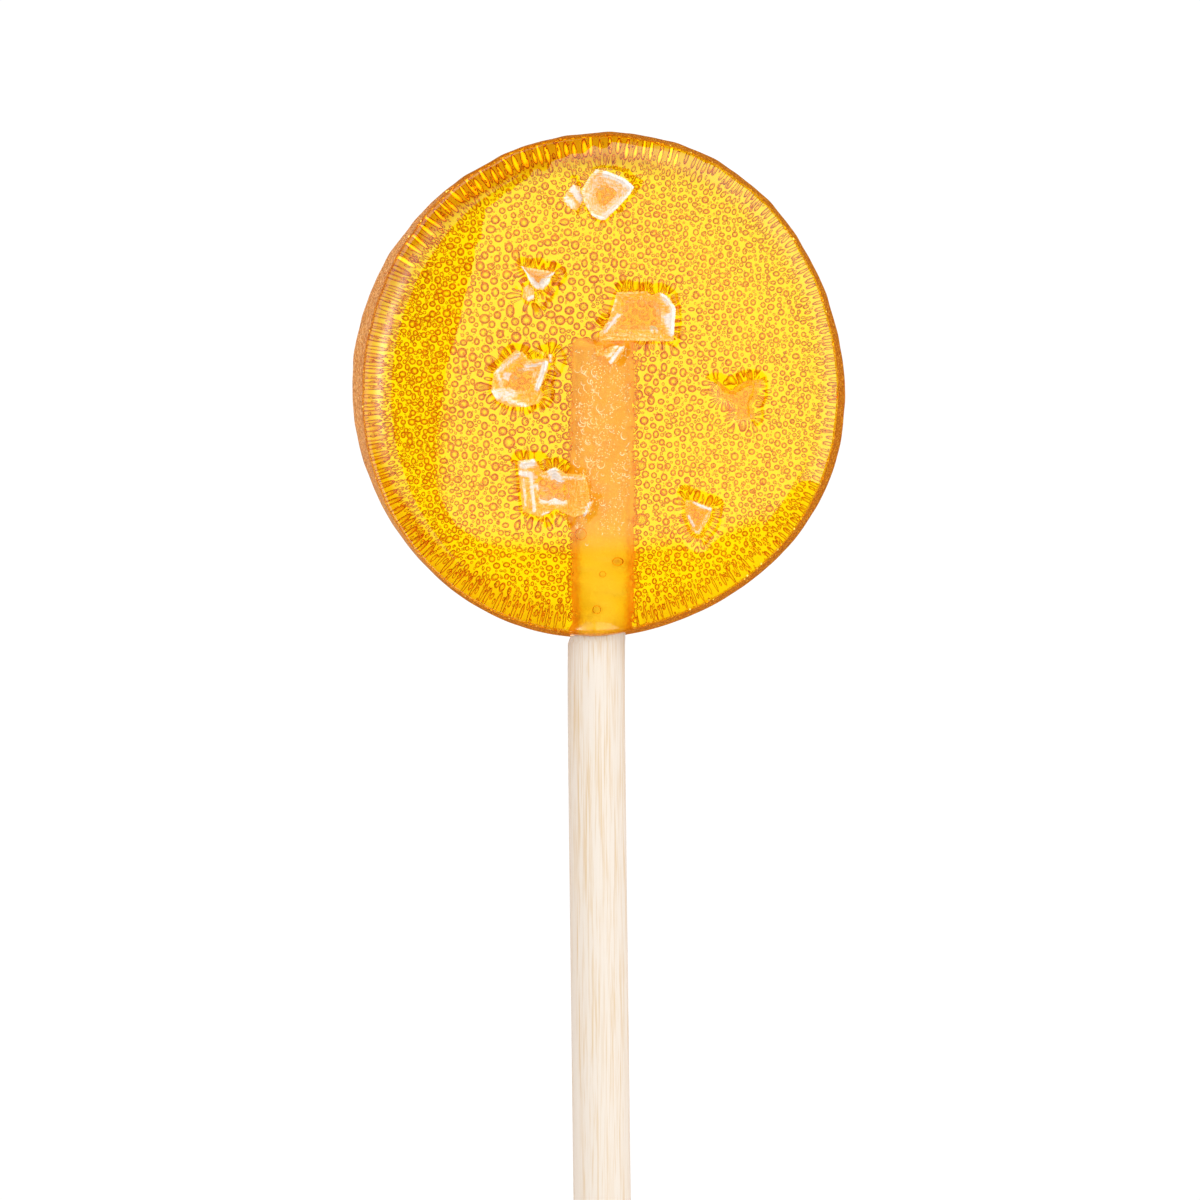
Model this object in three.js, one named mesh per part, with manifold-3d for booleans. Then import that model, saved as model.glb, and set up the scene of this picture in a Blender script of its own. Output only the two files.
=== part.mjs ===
// Honey lollipop: a poured disc of clear amber candy on a round wooden stick, with flakes of
// sea salt sunk in its face. The disc lies on its flat back, face up, and holds the stick
// clear of the table.
//
// Units are millimetres. The origin is the centre of the disc's back. +Z points out of the
// face and -Y runs down the stick.

import * as THREE from 'three';
import Module from 'manifold-3d';
import { mergeVertices } from 'three/addons/utils/BufferGeometryUtils.js';

// ---- Driving dimensions ----

// Room left between two pieces that touch in the real lollipop.
const FIT_GAP = 0.3;

const DISC = {
  radius: 25.6, // mean radius at the back, the widest part
  thickness: 8.2, // at the middle of the face
  lip: 0.6, // radius of the edge round the back
  wallHeight: 6.2, // from the back up to the shoulder
  wallDraft: 0.63, // how far the wall leans in on its way up, all round on average
  rollWidth: 3.4, // from the shoulder in to the flat of the face
  rollPower: 2.25, // how late the face rolls over
  crown: 0.25, // rise of the face from the rolled rim to the middle
  sectors: 108,
  lipSteps: 3,
  wallSteps: 3,
  rollSteps: 5,
  crownSteps: 4,
};

// The poured edge isn't a true circle. Each entry is a ring of even swells, with a crest at
// the given angle in degrees, counted from +X.
const EDGE_SWELLS = [
  { count: 2, height: 0.3, crest: 80 },
  { count: 3, height: 0.09, crest: -35 },
  { count: 4, height: 0.19, crest: -20 },
  { count: 5, height: 0.06, crest: -23 },
];

// The wall leans in more on the left and less elsewhere. Each entry is the share of a cosine
// or sine wave round the rim.
const WALL_LEANS = [
  { count: 1, cos: -0.03, sin: 0.1 },
  { count: 2, cos: 0.31, sin: 0 },
  { count: 3, cos: -0.19, sin: 0 },
  { count: 4, cos: 0.19, sin: 0 },
];

const STICK = {
  radius: 2.94,
  length: 150,
  buriedEnd: 4.1, // how far past the disc's centre the stick reaches
  height: 3.75, // its axis above the back
  bevel: 0.3, // sanded edge at both ends
  bendPlace: -31, // the wood is bent a little, just below the candy
  bendSlope: 0.0125, // sideways run on either side of the bend
  bendLength: 5, // how gently it turns there
  bendOffset: -0.25, // sideways place of the axis at the bend
  sides: 24,
  sections: 16,
};

// Where the stick leaves the disc the candy climbs round it.
const COLLAR = {
  wall: 1.0, // candy over the stick's bore, near the rim
  endWall: 0.45, // the same where the collar ends
  taper: 2.5, // length over which it thins to that
  start: 15, // distance from the disc's middle where it starts to swell
  full: 22, // and where it has its full height
  blend: 0.6, // softness of the line where it meets the rim
  reach: 0.15, // how far it runs out past the disc's edge
  halfWidth: 3.6,
};

// Salt flakes: hollow stepped pyramids, open side up, with their narrow foot in the candy.
// at: place on the face; size: across and along the open side; turn: about Z in degrees;
// lean: about X and Y in degrees; sunk: depth of the foot under the face;
// taper: how much wider the -Y side is than the +Y side, as a share of the width.
const FLAKES = [
  {
    name: 'flake_top', at: [1.05, 19.05], size: [4.5, 4.4], turn: -25,
    lean: [4, -6], height: 2.0, sunk: 0.9, taper: 0.05,
  },
  {
    name: 'flake_high_left', at: [-6.2, 10.4], size: [3.1, 2.7], turn: -15,
    lean: [-7, 5], height: 1.5, sunk: 0.7, taper: -0.2,
  },
  {
    name: 'flake_middle', at: [4.1, 6.8], size: [6.2, 4.7], turn: -2,
    lean: [3, 5], height: 2.0, sunk: 1.3, taper: 0.2,
  },
  {
    name: 'flake_left', at: [-8.1, 0.4], size: [4.5, 4.3], turn: 42,
    lean: [-4, 6], height: 1.9, sunk: 1.1, taper: 0,
  },
  {
    name: 'flake_on_stick', at: [-4.6, -10.7], size: [6.8, 5.4], turn: -4,
    lean: [2, -3], height: 1.4, sunk: 0.5, taper: 0.05,
  },
  {
    name: 'flake_right', at: [14.1, -2.0], size: [4.0, 3.9], turn: -15,
    lean: [-3, -4], height: 1.5, sunk: 1.4, taper: 0.1,
  },
  {
    name: 'flake_low_right', at: [10.2, -13.8], size: [2.5, 3.0], turn: -22,
    lean: [5, -5], height: 1.7, sunk: 0.9, taper: 0.15,
  },
];

const FLAKE = {
  steps: 4, // terraces from the foot to the rim
  footShare: 0.36, // width of the foot as a share of the rim's
  wall: 0.42, // width of the rim
  floorShare: 0.8, // thickness of the foot and of each inner terrace, as a share of a step
};

const COLOURS = { candy: 0xf2b420, wood: 0xf5e9d6, salt: 0xf6ece4 };

// ---- Small helpers ----

const radians = THREE.MathUtils.degToRad;

// The larger of two heights, with the crease between them rounded off.
function softMax(a, b, blend) {
  const overlap = Math.max(blend - Math.abs(a - b), 0) / blend;
  return Math.max(a, b) + (overlap * overlap * blend) / 4;
}

// Moves every vertex of a geometry with a function that changes a Vector3 in place.
function reshape(geometry, change) {
  const positions = geometry.attributes.position;
  const point = new THREE.Vector3();
  for (let i = 0; i < positions.count; i += 1) {
    point.fromBufferAttribute(positions, i);
    change(point);
    positions.setXYZ(i, point.x, point.y, point.z);
  }
  geometry.computeVertexNormals();
  return geometry;
}

// Turns a profile of [radius, height] pairs, drawn up the outside from foot to top, about
// the Z axis.
function turned(profile, sides, startAngle = 0) {
  const points = profile.map(([radius, height]) => new THREE.Vector2(radius, height));
  return new THREE.LatheGeometry(points, sides, startAngle).rotateX(Math.PI / 2);
}

// ---- Cutting ----

const wasm = await Module();
wasm.setup();

function toSolid(geometry) {
  const bare = new THREE.BufferGeometry();
  bare.setAttribute('position', geometry.attributes.position.clone());
  bare.setIndex(geometry.index.clone());
  const merged = mergeVertices(bare, 1e-4);
  const corners = merged.index.array;
  const kept = [];
  for (let i = 0; i < corners.length; i += 3) {
    const [a, b, c] = corners.slice(i, i + 3);
    if (a !== b && b !== c && c !== a) kept.push(a, b, c);
  }
  return new wasm.Manifold(new wasm.Mesh({
    numProp: 3,
    vertProperties: merged.attributes.position.array,
    triVerts: Uint32Array.from(kept),
  }));
}

function toGeometry(solid) {
  const { vertProperties, triVerts } = solid.getMesh();
  const geometry = new THREE.BufferGeometry();
  geometry.setAttribute('position', new THREE.BufferAttribute(vertProperties, 3));
  geometry.setIndex(new THREE.BufferAttribute(triVerts, 1));
  geometry.computeVertexNormals();
  return geometry;
}

// ---- Stick ----

// Sideways place of the stick's axis at a place along it.
function stickCentre(y) {
  const distance = Math.hypot(y - STICK.bendPlace, STICK.bendLength) - STICK.bendLength;
  return STICK.bendOffset + STICK.bendSlope * distance;
}

// A round rod along the stick's bent axis, from one place to another further down it.
function rod(radius, bevel, top, bottom) {
  const profile = [[0, bottom], [radius - bevel, bottom]];
  for (let i = 0; i <= STICK.sections; i += 1) {
    const share = i / STICK.sections;
    profile.push([radius, THREE.MathUtils.lerp(bottom + bevel, top - bevel, share)]);
  }
  profile.push([radius - bevel, top], [0, top]);
  return reshape(turned(profile, STICK.sides).rotateX(-Math.PI / 2), (point) => {
    point.x += stickCentre(point.y);
    point.z += STICK.height;
  });
}

function makeStick() {
  const end = STICK.buriedEnd - STICK.length;
  return rod(STICK.radius, STICK.bevel, STICK.buriedEnd, end);
}

// ---- Candy disc ----

const shoulderRadius = DISC.radius - DISC.wallDraft;
const faceRadius = shoulderRadius - DISC.rollWidth;
const faceHeight = DISC.thickness - DISC.crown;

// Height of the face above the back, at a distance from the middle.
function faceAt(radius) {
  if (radius < faceRadius) {
    return faceHeight + DISC.crown * (1 - (radius / faceRadius) ** 2);
  }
  const share = Math.min((radius - faceRadius) / DISC.rollWidth, 1);
  return faceHeight - (faceHeight - DISC.wallHeight) * share ** DISC.rollPower;
}

// Radius of the back's edge in a direction.
function edgeRadius(angle) {
  let radius = DISC.radius;
  for (const { count, height, crest } of EDGE_SWELLS) {
    radius += height * Math.cos(count * (angle - radians(crest)));
  }
  return radius;
}

// How far the wall leans in on its way up, in a direction.
function wallLean(angle) {
  let lean = DISC.wallDraft;
  for (const { count, cos, sin } of WALL_LEANS) {
    lean += cos * Math.cos(count * angle) + sin * Math.sin(count * angle);
  }
  return lean;
}

function discProfile() {
  const profile = [[0, 0]];
  for (let i = 0; i <= DISC.lipSteps; i += 1) {
    const angle = (i / DISC.lipSteps) * (Math.PI / 2);
    profile.push([
      DISC.radius - DISC.lip * (1 - Math.sin(angle)),
      DISC.lip * (1 - Math.cos(angle)),
    ]);
  }
  for (let i = 1; i <= DISC.wallSteps; i += 1) {
    const share = i / DISC.wallSteps;
    profile.push([
      DISC.radius - DISC.wallDraft * share,
      THREE.MathUtils.lerp(DISC.lip, DISC.wallHeight, share),
    ]);
  }
  for (let i = 1; i <= DISC.rollSteps; i += 1) {
    const radius = shoulderRadius - (DISC.rollWidth * i) / DISC.rollSteps;
    profile.push([radius, faceAt(radius)]);
  }
  for (let i = 1; i <= DISC.crownSteps; i += 1) {
    const radius = faceRadius * (1 - i / DISC.crownSteps);
    profile.push([radius, faceAt(radius)]);
  }
  return profile;
}

// How much the candy that climbs round the stick lifts the face at a point.
function collarRise(x, y) {
  if (y > 0) return 0;
  const face = faceAt(Math.hypot(x, y));
  const end = THREE.MathUtils.clamp((-y - shoulderRadius + COLLAR.taper) / COLLAR.taper, 0, 1);
  const wall = THREE.MathUtils.lerp(COLLAR.wall, COLLAR.endWall, end ** 2);
  const swell = THREE.MathUtils.smoothstep(-y, COLLAR.start, COLLAR.full);
  const radius = STICK.radius + FIT_GAP + wall * swell;
  const offset = x - stickCentre(y);
  const sheath = STICK.height + radius - offset ** 2 / (2 * radius);
  return softMax(face, sheath, COLLAR.blend) - face;
}

// How far the wall and the rim run out along the stick at a point: under the collar the wall
// stands upright.
function collarReach(x, y, leanIn) {
  if (y > 0) return 0;
  const offset = (x - stickCentre(y)) / COLLAR.halfWidth;
  const rimShare = THREE.MathUtils.smoothstep(Math.hypot(x, y), faceRadius, shoulderRadius);
  return Math.exp(-(offset ** 2)) * rimShare * (COLLAR.reach + leanIn);
}

function makeDisc(flakes) {
  const shape = reshape(turned(discProfile(), DISC.sectors), (point) => {
    const wallShare = Math.min(point.z / DISC.wallHeight, 1);
    const angle = Math.atan2(point.y, point.x);
    const lean = wallLean(angle) * wallShare;
    const reach = collarReach(point.x, point.y, lean);
    const rimShare = THREE.MathUtils.smoothstep(
      Math.hypot(point.x, point.y), faceRadius / 2, shoulderRadius,
    );
    const upright = (DISC.wallDraft * wallShare - lean) * rimShare;
    const swell = (edgeRadius(angle) + upright) / DISC.radius;
    point.z += wallShare * collarRise(point.x, point.y);
    point.x *= swell;
    point.y = point.y * swell - reach;
  });
  const bore = rod(STICK.radius + FIT_GAP, 0, STICK.buriedEnd + FIT_GAP, -2 * DISC.radius);
  let solid = toSolid(shape).subtract(toSolid(bore));
  for (const flake of flakes) {
    solid = solid.subtract(toSolid(flakeSocket(flake)));
  }
  return toGeometry(solid);
}

// ---- Salt flakes ----

// Half widths of the terraces, from the foot to the rim, as shares of the rim's half width.
function terraces() {
  return Array.from({ length: FLAKE.steps }, (_, i) => (
    THREE.MathUtils.lerp(FLAKE.footShare, 1, i / (FLAKE.steps - 1))
  ));
}

// A four-sided stepped form: the profile is given as half widths and heights of a square of
// the flake's width, then drawn out to its length and tapered.
function fourSided(flake, profile) {
  const [width, length] = flake.size;
  const corners = profile.map(([half, height]) => [half * Math.SQRT2, height]);
  return reshape(turned(corners, 4, Math.PI / 4), (point) => {
    point.y *= length / width;
    point.x *= 1 - (flake.taper * point.y) / length;
  });
}

function makeFlake(flake) {
  const half = flake.size[0] / 2;
  const rise = flake.height / FLAKE.steps;
  const floor = rise * FLAKE.floorShare;
  const outside = [[0, 0]];
  const inside = [[0, floor]];
  terraces().forEach((share, i) => {
    const outer = half * share;
    const inner = outer - FLAKE.wall;
    const rim = i === FLAKE.steps - 1;
    outside.push([outer, rise * i], [outer, rise * (i + 1)]);
    inside.unshift([inner, rise * (i + 1) + (rim ? 0 : floor)], [inner, rise * i + floor]);
  });
  return fourSided(flake, [...outside, ...inside]);
}

// The hollow that a flake's foot has made in the candy, open to the face.
function flakeSocket(flake) {
  const half = flake.size[0] / 2;
  const rise = flake.height / FLAKE.steps;
  const profile = [[0, -FIT_GAP]];
  terraces().forEach((share, i) => {
    const top = i === FLAKE.steps - 1 ? flake.height + FIT_GAP : rise * (i + 1) - FIT_GAP;
    profile.push([half * share + FIT_GAP, rise * i - FIT_GAP], [half * share + FIT_GAP, top]);
  });
  profile.push([0, flake.height + FIT_GAP]);
  const socket = fourSided(flake, profile);
  return socket.applyMatrix4(flakePlace(flake));
}

function flakePlace(flake) {
  const [x, y] = flake.at;
  const foot = faceAt(Math.hypot(x, y)) - flake.sunk;
  const [leanX, leanY] = flake.lean;
  const turn = new THREE.Euler(radians(leanX), radians(leanY), radians(flake.turn));
  return new THREE.Matrix4().makeRotationFromEuler(turn).setPosition(x, y, foot);
}

// ---- The lollipop ----

function material(colour, roughness, extra = {}) {
  return new THREE.MeshStandardMaterial({ color: colour, roughness, metalness: 0, ...extra });
}

const candy = material(COLOURS.candy, 0.06, { transparent: true, opacity: 0.8 });
const wood = material(COLOURS.wood, 0.7);
const salt = material(COLOURS.salt, 0.35);

function named(name, geometry, finish) {
  const mesh = new THREE.Mesh(geometry, finish);
  mesh.name = name;
  return mesh;
}

const lollipop = new THREE.Group();
lollipop.add(named('candy_disc', makeDisc(FLAKES), candy));
lollipop.add(named('stick', makeStick(), wood));
for (const flake of FLAKES) {
  const mesh = named(flake.name, makeFlake(flake), salt);
  mesh.applyMatrix4(flakePlace(flake));
  lollipop.add(mesh);
}

export default lollipop;
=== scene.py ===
"""Honey lollipop: clear candy full of bubbles on a wooden stick, with sea salt flakes."""

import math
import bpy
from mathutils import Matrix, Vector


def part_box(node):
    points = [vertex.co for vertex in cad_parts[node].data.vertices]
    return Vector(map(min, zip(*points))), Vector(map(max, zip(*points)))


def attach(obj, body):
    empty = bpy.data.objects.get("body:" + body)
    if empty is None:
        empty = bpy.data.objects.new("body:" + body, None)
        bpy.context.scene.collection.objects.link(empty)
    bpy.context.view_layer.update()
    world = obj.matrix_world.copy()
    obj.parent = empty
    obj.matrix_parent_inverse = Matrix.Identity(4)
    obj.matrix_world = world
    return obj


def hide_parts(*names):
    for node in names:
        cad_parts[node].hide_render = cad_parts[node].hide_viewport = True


bl_info = {
    "name": "Honey lollipop",
    "version": (1, 0, 0),
    "blender": (4, 5, 0),
    "location": "3D View > Sidebar > Lollipop",
    "description": "Clear honey candy with bubbles, salt flakes and a wooden stick",
    "category": "Add Mesh",
}

import bpy
import numpy as np
from bpy.props import FloatProperty, FloatVectorProperty, IntProperty, PointerProperty
from mathutils import Vector

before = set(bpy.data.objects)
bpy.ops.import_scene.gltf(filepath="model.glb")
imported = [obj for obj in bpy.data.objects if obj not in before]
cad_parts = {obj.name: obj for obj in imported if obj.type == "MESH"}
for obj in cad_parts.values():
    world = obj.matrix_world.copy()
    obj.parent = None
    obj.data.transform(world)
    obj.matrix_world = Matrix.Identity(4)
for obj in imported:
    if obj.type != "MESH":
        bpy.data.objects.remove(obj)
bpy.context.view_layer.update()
STICK_LOW, STICK_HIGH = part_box("stick")

MM = 0.001


# ---- Sizes and colours -------------------------------------------------------------------

# Radius of the disc at the back and of the wood, in millimetres.
RADIUS, STICK_RADIUS = 25.6, 2.94


def length(name, description, millimetres):
    """A setting in metres, with its default in millimetres."""
    return FloatProperty(
        name=name, description=description, default=millimetres * MM, unit="LENGTH"
    )


def tint(name, description, default):
    return FloatVectorProperty(
        name=name, description=description, default=default, size=3, subtype="COLOR"
    )


def count_of(name, description, default, least=0):
    return IntProperty(name=name, description=description, default=default, min=least)


class CandySettings(bpy.types.PropertyGroup):
    """Size and colour of the poured disc"""

    radius: length("Radius", "Mean radius at the back, the widest part", RADIUS)
    crown: length("Crown", "Rise of the face from the rolled rim to the middle", 0.25)
    roll_width: length("Roll width", "From the shoulder in to the flat of the face", 3.3)
    lip: length("Lip", "Radius of the edge round the back", 0.6)
    dimple: length(
        "Dimple depth", "How far the face dips where it meets a salt flake", 0.34
    )
    dimple_width: length(
        "Dimple width", "How far from a flake the face starts to dip", 1.35
    )
    # The rim tints are painted shade on the rolled rim: amber, darkest at the top left and
    # palest at the right.
    rim: tint("Rim", "Tint of the rolled rim", (0.84, 0.52, 0.3))
    rim_shade_pale: tint("Pale rim", "Tint of the rim at the right", (0.97, 0.86, 0.7))
    rim_shade_dark: tint("Dark rim", "Tint of the rim at the top left", (0.5, 0.16, 0.03))
    # The wall tint is painted shade: it darkens the wall to a dark amber.
    wall: tint("Wall", "Tint of the wall", (0.5, 0.22, 0.04))
    absorption: FloatVectorProperty(
        name="Absorption",
        description="Red, green and blue light lost in each metre of candy",
        default=(0.5, 27.5, 900.0),
        size=3,
        min=0.0,
    )


class StickSettings(bpy.types.PropertyGroup):
    """Size and colour of the stick"""

    radius: length("Radius", "Radius of the wood", STICK_RADIUS)
    sides: count_of("Sides", "Number of facets round the wood", 96, 12)
    colour: tint("Colour", "Colour of the dry wood", (0.6, 0.535, 0.465))


class BubbleSettings(bpy.types.PropertyGroup):
    """Size and number of the bubbles"""

    seed: count_of("Seed", "Seed of the random places", 7)
    coarse: length(
        "Coarse diameter", "Diameter of the larger bubbles, left and middle", 0.98
    )
    fine: length(
        "Fine diameter", "Diameter of the smaller bubbles, right and bottom", 0.6
    )
    specks: count_of("Specks", "Number of the finest bubbles near the back", 6400)
    behind_wall: count_of("Behind the wall", "Number of bubbles behind the wall", 1300)
    # Bright bubbles are glowing gold specks, painted glints.
    bright: count_of("Bright", "Number of bright bubbles behind the wall", 700)
    # Flecks glow pale, painted highlights of the froth.
    flecks: count_of("Flecks", "Number of bubbles in the froth over the stick", 1500)
    # Glints are painted highlights: thin glowing arcs.
    glints: count_of("Glints", "Number of bright arcs over the stick", 66)


class SaltSettings(bpy.types.PropertyGroup):
    """Colour of the salt"""

    colour: tint("Colour", "Colour of the dry salt", (0.62, 0.555, 0.5))


class StageSettings(bpy.types.PropertyGroup):
    """The camera and the lamps"""

    camera_height: length("Camera height", "Height of the camera above the floor", 800)
    view_width: length(
        "View width", "Width that the camera sees at the face of the candy", 123.08
    )


# ---- Shape of the candy ------------------------------------------------------------------

# Lengths are in millimetres, except those of the stage.

# Height of the middle of the face above the back, and how far the wall leans in as turned.
THICKNESS, TURNED_DRAFT = 8.2, 1.3

# Rings of even swells in the poured edge: count, height, crest in degrees.
EDGE_SWELLS = ((2, 0.3, 80), (3, 0.09, -35), (4, 0.19, -20), (5, 0.06, -23))

# How far the wall leans in as poured: the mean, and shares of cos, sin, cos 2, 3 and 4,
# which are turned by an angle in degrees.
WALL_DRAFT = (0.63, -0.03, 0.1, 0.31, -0.19, 0.19)
WALL_TURN = 9

# Lean of the rim where it meets the wall, in radians, and how late it sets in. The rim is
# narrower and flatter at the lower right, most of all in one direction, in degrees.
ROLL_LEAN, ROLL_POWER = 0.92, 1.15
ROLL_NARROWER, ROLL_FLATTER, FLATTEST_AT = 0.2, 0.6, -20

# The stick's axis above the back, and the bend where it leaves the candy: the place of the
# bend, slope, length, offset.
STICK_AXIS = 3.75
STICK_BEND = (-31.0, 0.0125, 5.0, -0.25)

# Where the stick ends in the candy, where it comes out, and the soaked skin between them.
BURIED_END, LEAVING = 4.1, (-25.8, -23.4)
SOAKED_CENTRE, SOAKED_RADIUS, SOAKED_FOOT = 0.41, 3.18, -25.9

# Candy that climbs round the stick: from where to where it gets its thickness, that
# thickness, from where on and how fast it thins, its blend with the face, how far its foot
# runs out and back, and its half width.
COLLAR_START, COLLAR_WALL = (15, 20), 0.9
COLLAR_THINS, COLLAR_FALL, COLLAR_BLEND = 21, 0.12, 0.35
COLLAR_REACH, COLLAR_BACK, COLLAR_HALF_WIDTH = 0.45, 0.45, 3.6

# The dips round the salt: how far away they are looked for, the share of a flake's width
# that its foot has, and the distances from the middle between which the rim ends them.
DIP_SEARCH, FOOT_SHARE, DIPS_END = 8, 0.85, (20.6, 22.2)

# Larger bubbles over the buried stick: place and radius.
STICK_RINGS = (
    (1.95, -18.2, 7.3, 0.62), (0.4, -19.5, 7.4, 0.36), (-1.85, -15.4, 7.3, 0.62),
    (-0.2, -23.1, 7.5, 0.48), (4.1, 2.0, 6.5, 0.34), (4.2, -8.4, 6.2, 0.62),
    (4.3, -13.9, 6.2, 0.6), (3.9, -20.6, 6.2, 0.4),
)

# Each salt flake: its place on the face, the corners of its outline, its white strokes
# (from, to, half width, how white), the whiteness between them, its lowering, and the share
# of the dimple round it.
FLAKES = {
    "flake_top": {
        "at": (1.05, 19.05),
        "corners": (
            (-1.3, 2.7), (-0.2, 2.5), (1.55, 1.8), (2.55, 0.9), (2.15, 0.2), (1.05, -1.05),
            (-0.4, -2.45), (-0.9, -2.45), (-1.7, -2.05), (-2.4, -0.95), (-2.8, 0.5),
            (-2.1, 1.8),
        ),
        "frost": (
            (-0.4, 2.25, 1.05, 1.7, 0.4, 1), (1.05, 1.7, 2.45, 0.85, 0.45, 1),
            (2.25, 0.5, 0.65, -1.05, 0.4, 0.8), (0.65, -1.05, -0.7, -2.25, 0.4, 0.85),
            (-0.9, 0.85, 0.65, 0.7, 0.3, 1), (0, 0.6, -0.5, -0.25, 0.3, 0.9),
            (-1.7, -1.95, -0.6, -2.3, 0.2, 1), (-1.3, 2.5, -2.4, 1.5, 0.3, 0.35),
        ),
        "film": 0.6, "sink": 0, "dip": 0.3,
    },
    "flake_high_left": {
        "at": (-6.2, 10.4),
        "corners": (
            (-1.75, 1.5), (-1.15, 1.35), (1.75, 0.9), (1.3, 0.25), (1.1, -0.3),
            (0.55, -0.9), (0, -0.9), (-0.55, -0.55), (-0.9, 0.1), (-1.2, 0.8),
        ),
        "frost": (
            (-1.7, 1.45, -0.55, -0.15, 0.2, 1), (-0.65, 0, 0.8, -0.1, 0.55, 1),
            (-0.1, -0.5, 0.5, -0.4, 0.4, 1), (0.9, 0.4, 1.7, 0.8, 0.15, 1),
            (-0.95, 1.1, 1.45, 0.8, 0.3, 0.5), (-0.65, 0.55, 0.65, 0.55, 0.4, 0.55),
        ),
        "film": 0.45, "sink": 0,
    },
    "flake_middle": {
        "at": (4.1, 6.8),
        "corners": (
            (-2.25, 2.45), (0.75, 2.55), (1.3, 2.1), (2.15, 2.45), (3.1, 1.9), (3.75, 0.75),
            (3.65, -0.65), (3.5, -2.55), (-4.05, -2.45), (-4.05, -1.7), (-3.1, -0.45),
            (-2.55, 1.3),
        ),
        "frost": (
            (2.45, 2.15, 3.5, 0.8, 0.35, 0.9), (3.5, 0.8, 3.3, -1.7, 0.4, 1),
            (3.05, -0.1, 3.1, -0.65, 0.6, 1), (1.5, 0.85, 3.2, -0.45, 0.35, 0.6),
            (-0.55, 0.3, 1.9, 0, 0.65, 0.36), (-2.05, 0.2, -3.4, -1.5, 0.2, 1),
            (-2.35, 1.8, -2.8, 0.4, 0.15, 0.6), (1.2, -1, 1.7, -1.05, 0.15, 1),
            (1.2, -1, 1.3, -1.45, 0.15, 1), (1.7, -1.05, 1.75, -1.45, 0.15, 1),
            (-3.2, -0.75, -2.35, -0.6, 0.15, 0.8), (-2.35, -1.95, 2.35, -2.05, 0.1, 0.4),
            (-3.65, -2.3, 3.2, -2.4, 0.1, 0.45),
        ),
        "film": 0.3, "sink": 0.3,
    },
    "flake_left": {
        "at": (-8.1, 0.4),
        "corners": (
            (-0.35, 2.95), (0.35, 2.7), (1, 1.9), (1.7, 2.05), (2.95, 2.05), (2.9, 0.8),
            (2.05, -1), (2.5, -1.55), (2, -2.45), (0.65, -2.85), (-1, -2.8), (-2.25, -2.25),
            (-2.85, -1.25), (-2.7, -0.25), (-2.6, 0.65), (-1.5, 1.9),
        ),
        "frost": (
            (0, 2.55, -2.3, 0.65, 0.25, 0.8), (-2.3, 0.65, -1.8, -0.5, 0.25, 0.75),
            (-1.25, 0.3, -0.55, 0.1, 0.5, 1), (0, 0.95, 0.55, 0.8, 0.3, 1),
            (0.65, 1.25, 2.8, 1.7, 0.2, 0.9), (2.7, 1.6, 1.8, -0.95, 0.35, 1),
            (1, 1.25, 1.35, 0.65, 0.65, 0.62), (-2.4, -1.55, -0.8, -1.45, 0.7, 0.85),
            (-1.7, -2.05, 0.65, -2.7, 0.3, 0.75), (-0.6, -1.15, 0.1, -1.15, 0.55, 0.5),
        ),
        "film": 0.28, "sink": 0,
    },
    "flake_on_stick": {
        "at": (-4.6, -10.7),
        "corners": (
            (-3.65, 2.75), (-1.95, 2.95), (-1.5, 1.45), (0.2, 2.1), (1.25, 1.45),
            (3.2, 1.35), (3.6, -0.25), (3.8, -2.4), (2.1, -3), (0.2, -2.15), (-1.3, -3),
            (-3.1, -2.4), (-3.45, 0.2),
        ),
        "frost": (
            (-3.05, 2.3, -2.2, 2.5, 0.5, 1), (-3.35, 1.5, -2.25, 1.35, 0.35, 1),
            (-3.05, 0.85, -2.9, -1.95, 0.1, 0.9), (-2.3, 1.25, -1.95, -2.35, 0.2, 1),
            (-1.95, 1.2, 2.85, 1, 0.2, 0.65), (-0.15, 1.65, 0.6, 0.6, 0.65, 1),
            (-1.75, 0.1, -0.65, -0.25, 0.4, 0.9), (-0.9, -0.55, -0.35, -1, 0.2, 0.9),
            (-1, -1.1, 0.8, -1.3, 0.6, 1), (0.85, -0.4, 0.95, -0.9, 0.2, 0.9),
            (-1.2, -2.65, -0.55, -2.5, 0.2, 0.7), (2.35, 1.05, 2.95, 0.95, 0.25, 0.7),
            (3.65, -1.55, 3.15, -2.85, 0.15, 1),
        ),
        "film": 0.26, "sink": 0.15,
    },
    "flake_right": {
        "at": (14.1, -2),
        "corners": (
            (-2.05, 2.3), (-0.75, 1.15), (1, 2.3), (1.5, 2.3), (2.55, 2.45), (2.15, 0.7),
            (1.5, -0.3), (1.9, -1.7), (-0.1, -1.8), (0.05, -0.45), (-0.6, 0.2),
            (-1.9, 0.55),
        ),
        "frost": (
            (0.95, 0.2, 1.1, -0.15, 0.15, 0.45), (1.4, -1.25, 1.5, -1.5, 0.15, 0.5),
            (1.9, 1.95, 1.95, 1.65, 0.15, 0.4),
        ),
        "film": 0.0, "sink": 0.5,
    },
    "flake_low_right": {
        "at": (10.2, -13.8),
        "corners": (
            (-1.3, 1.9), (-0.3, 1.7), (1.35, 1.05), (1.1, 0.1), (0.05, -1.65), (-0.3, -1.6),
            (-0.7, -1.1), (-1.25, 0.1), (-1.4, 1.15),
        ),
        "frost": (
            (-0.5, 1.6, 1.25, 0.85, 0.15, 1), (0, 1.35, 0.6, 1.1, 0.2, 1),
            (-1.05, 0.25, -0.5, -0.8, 0.15, 1), (1, 0.6, -0.15, -1.5, 0.1, 0.6),
            (1.3, 0.6, 0.2, -1.55, 0.05, 0.45), (-0.65, -1.15, -0.05, -1.5, 0.15, 0.4),
        ),
        "film": 0.25, "sink": 0.15,
    },
}

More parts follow.
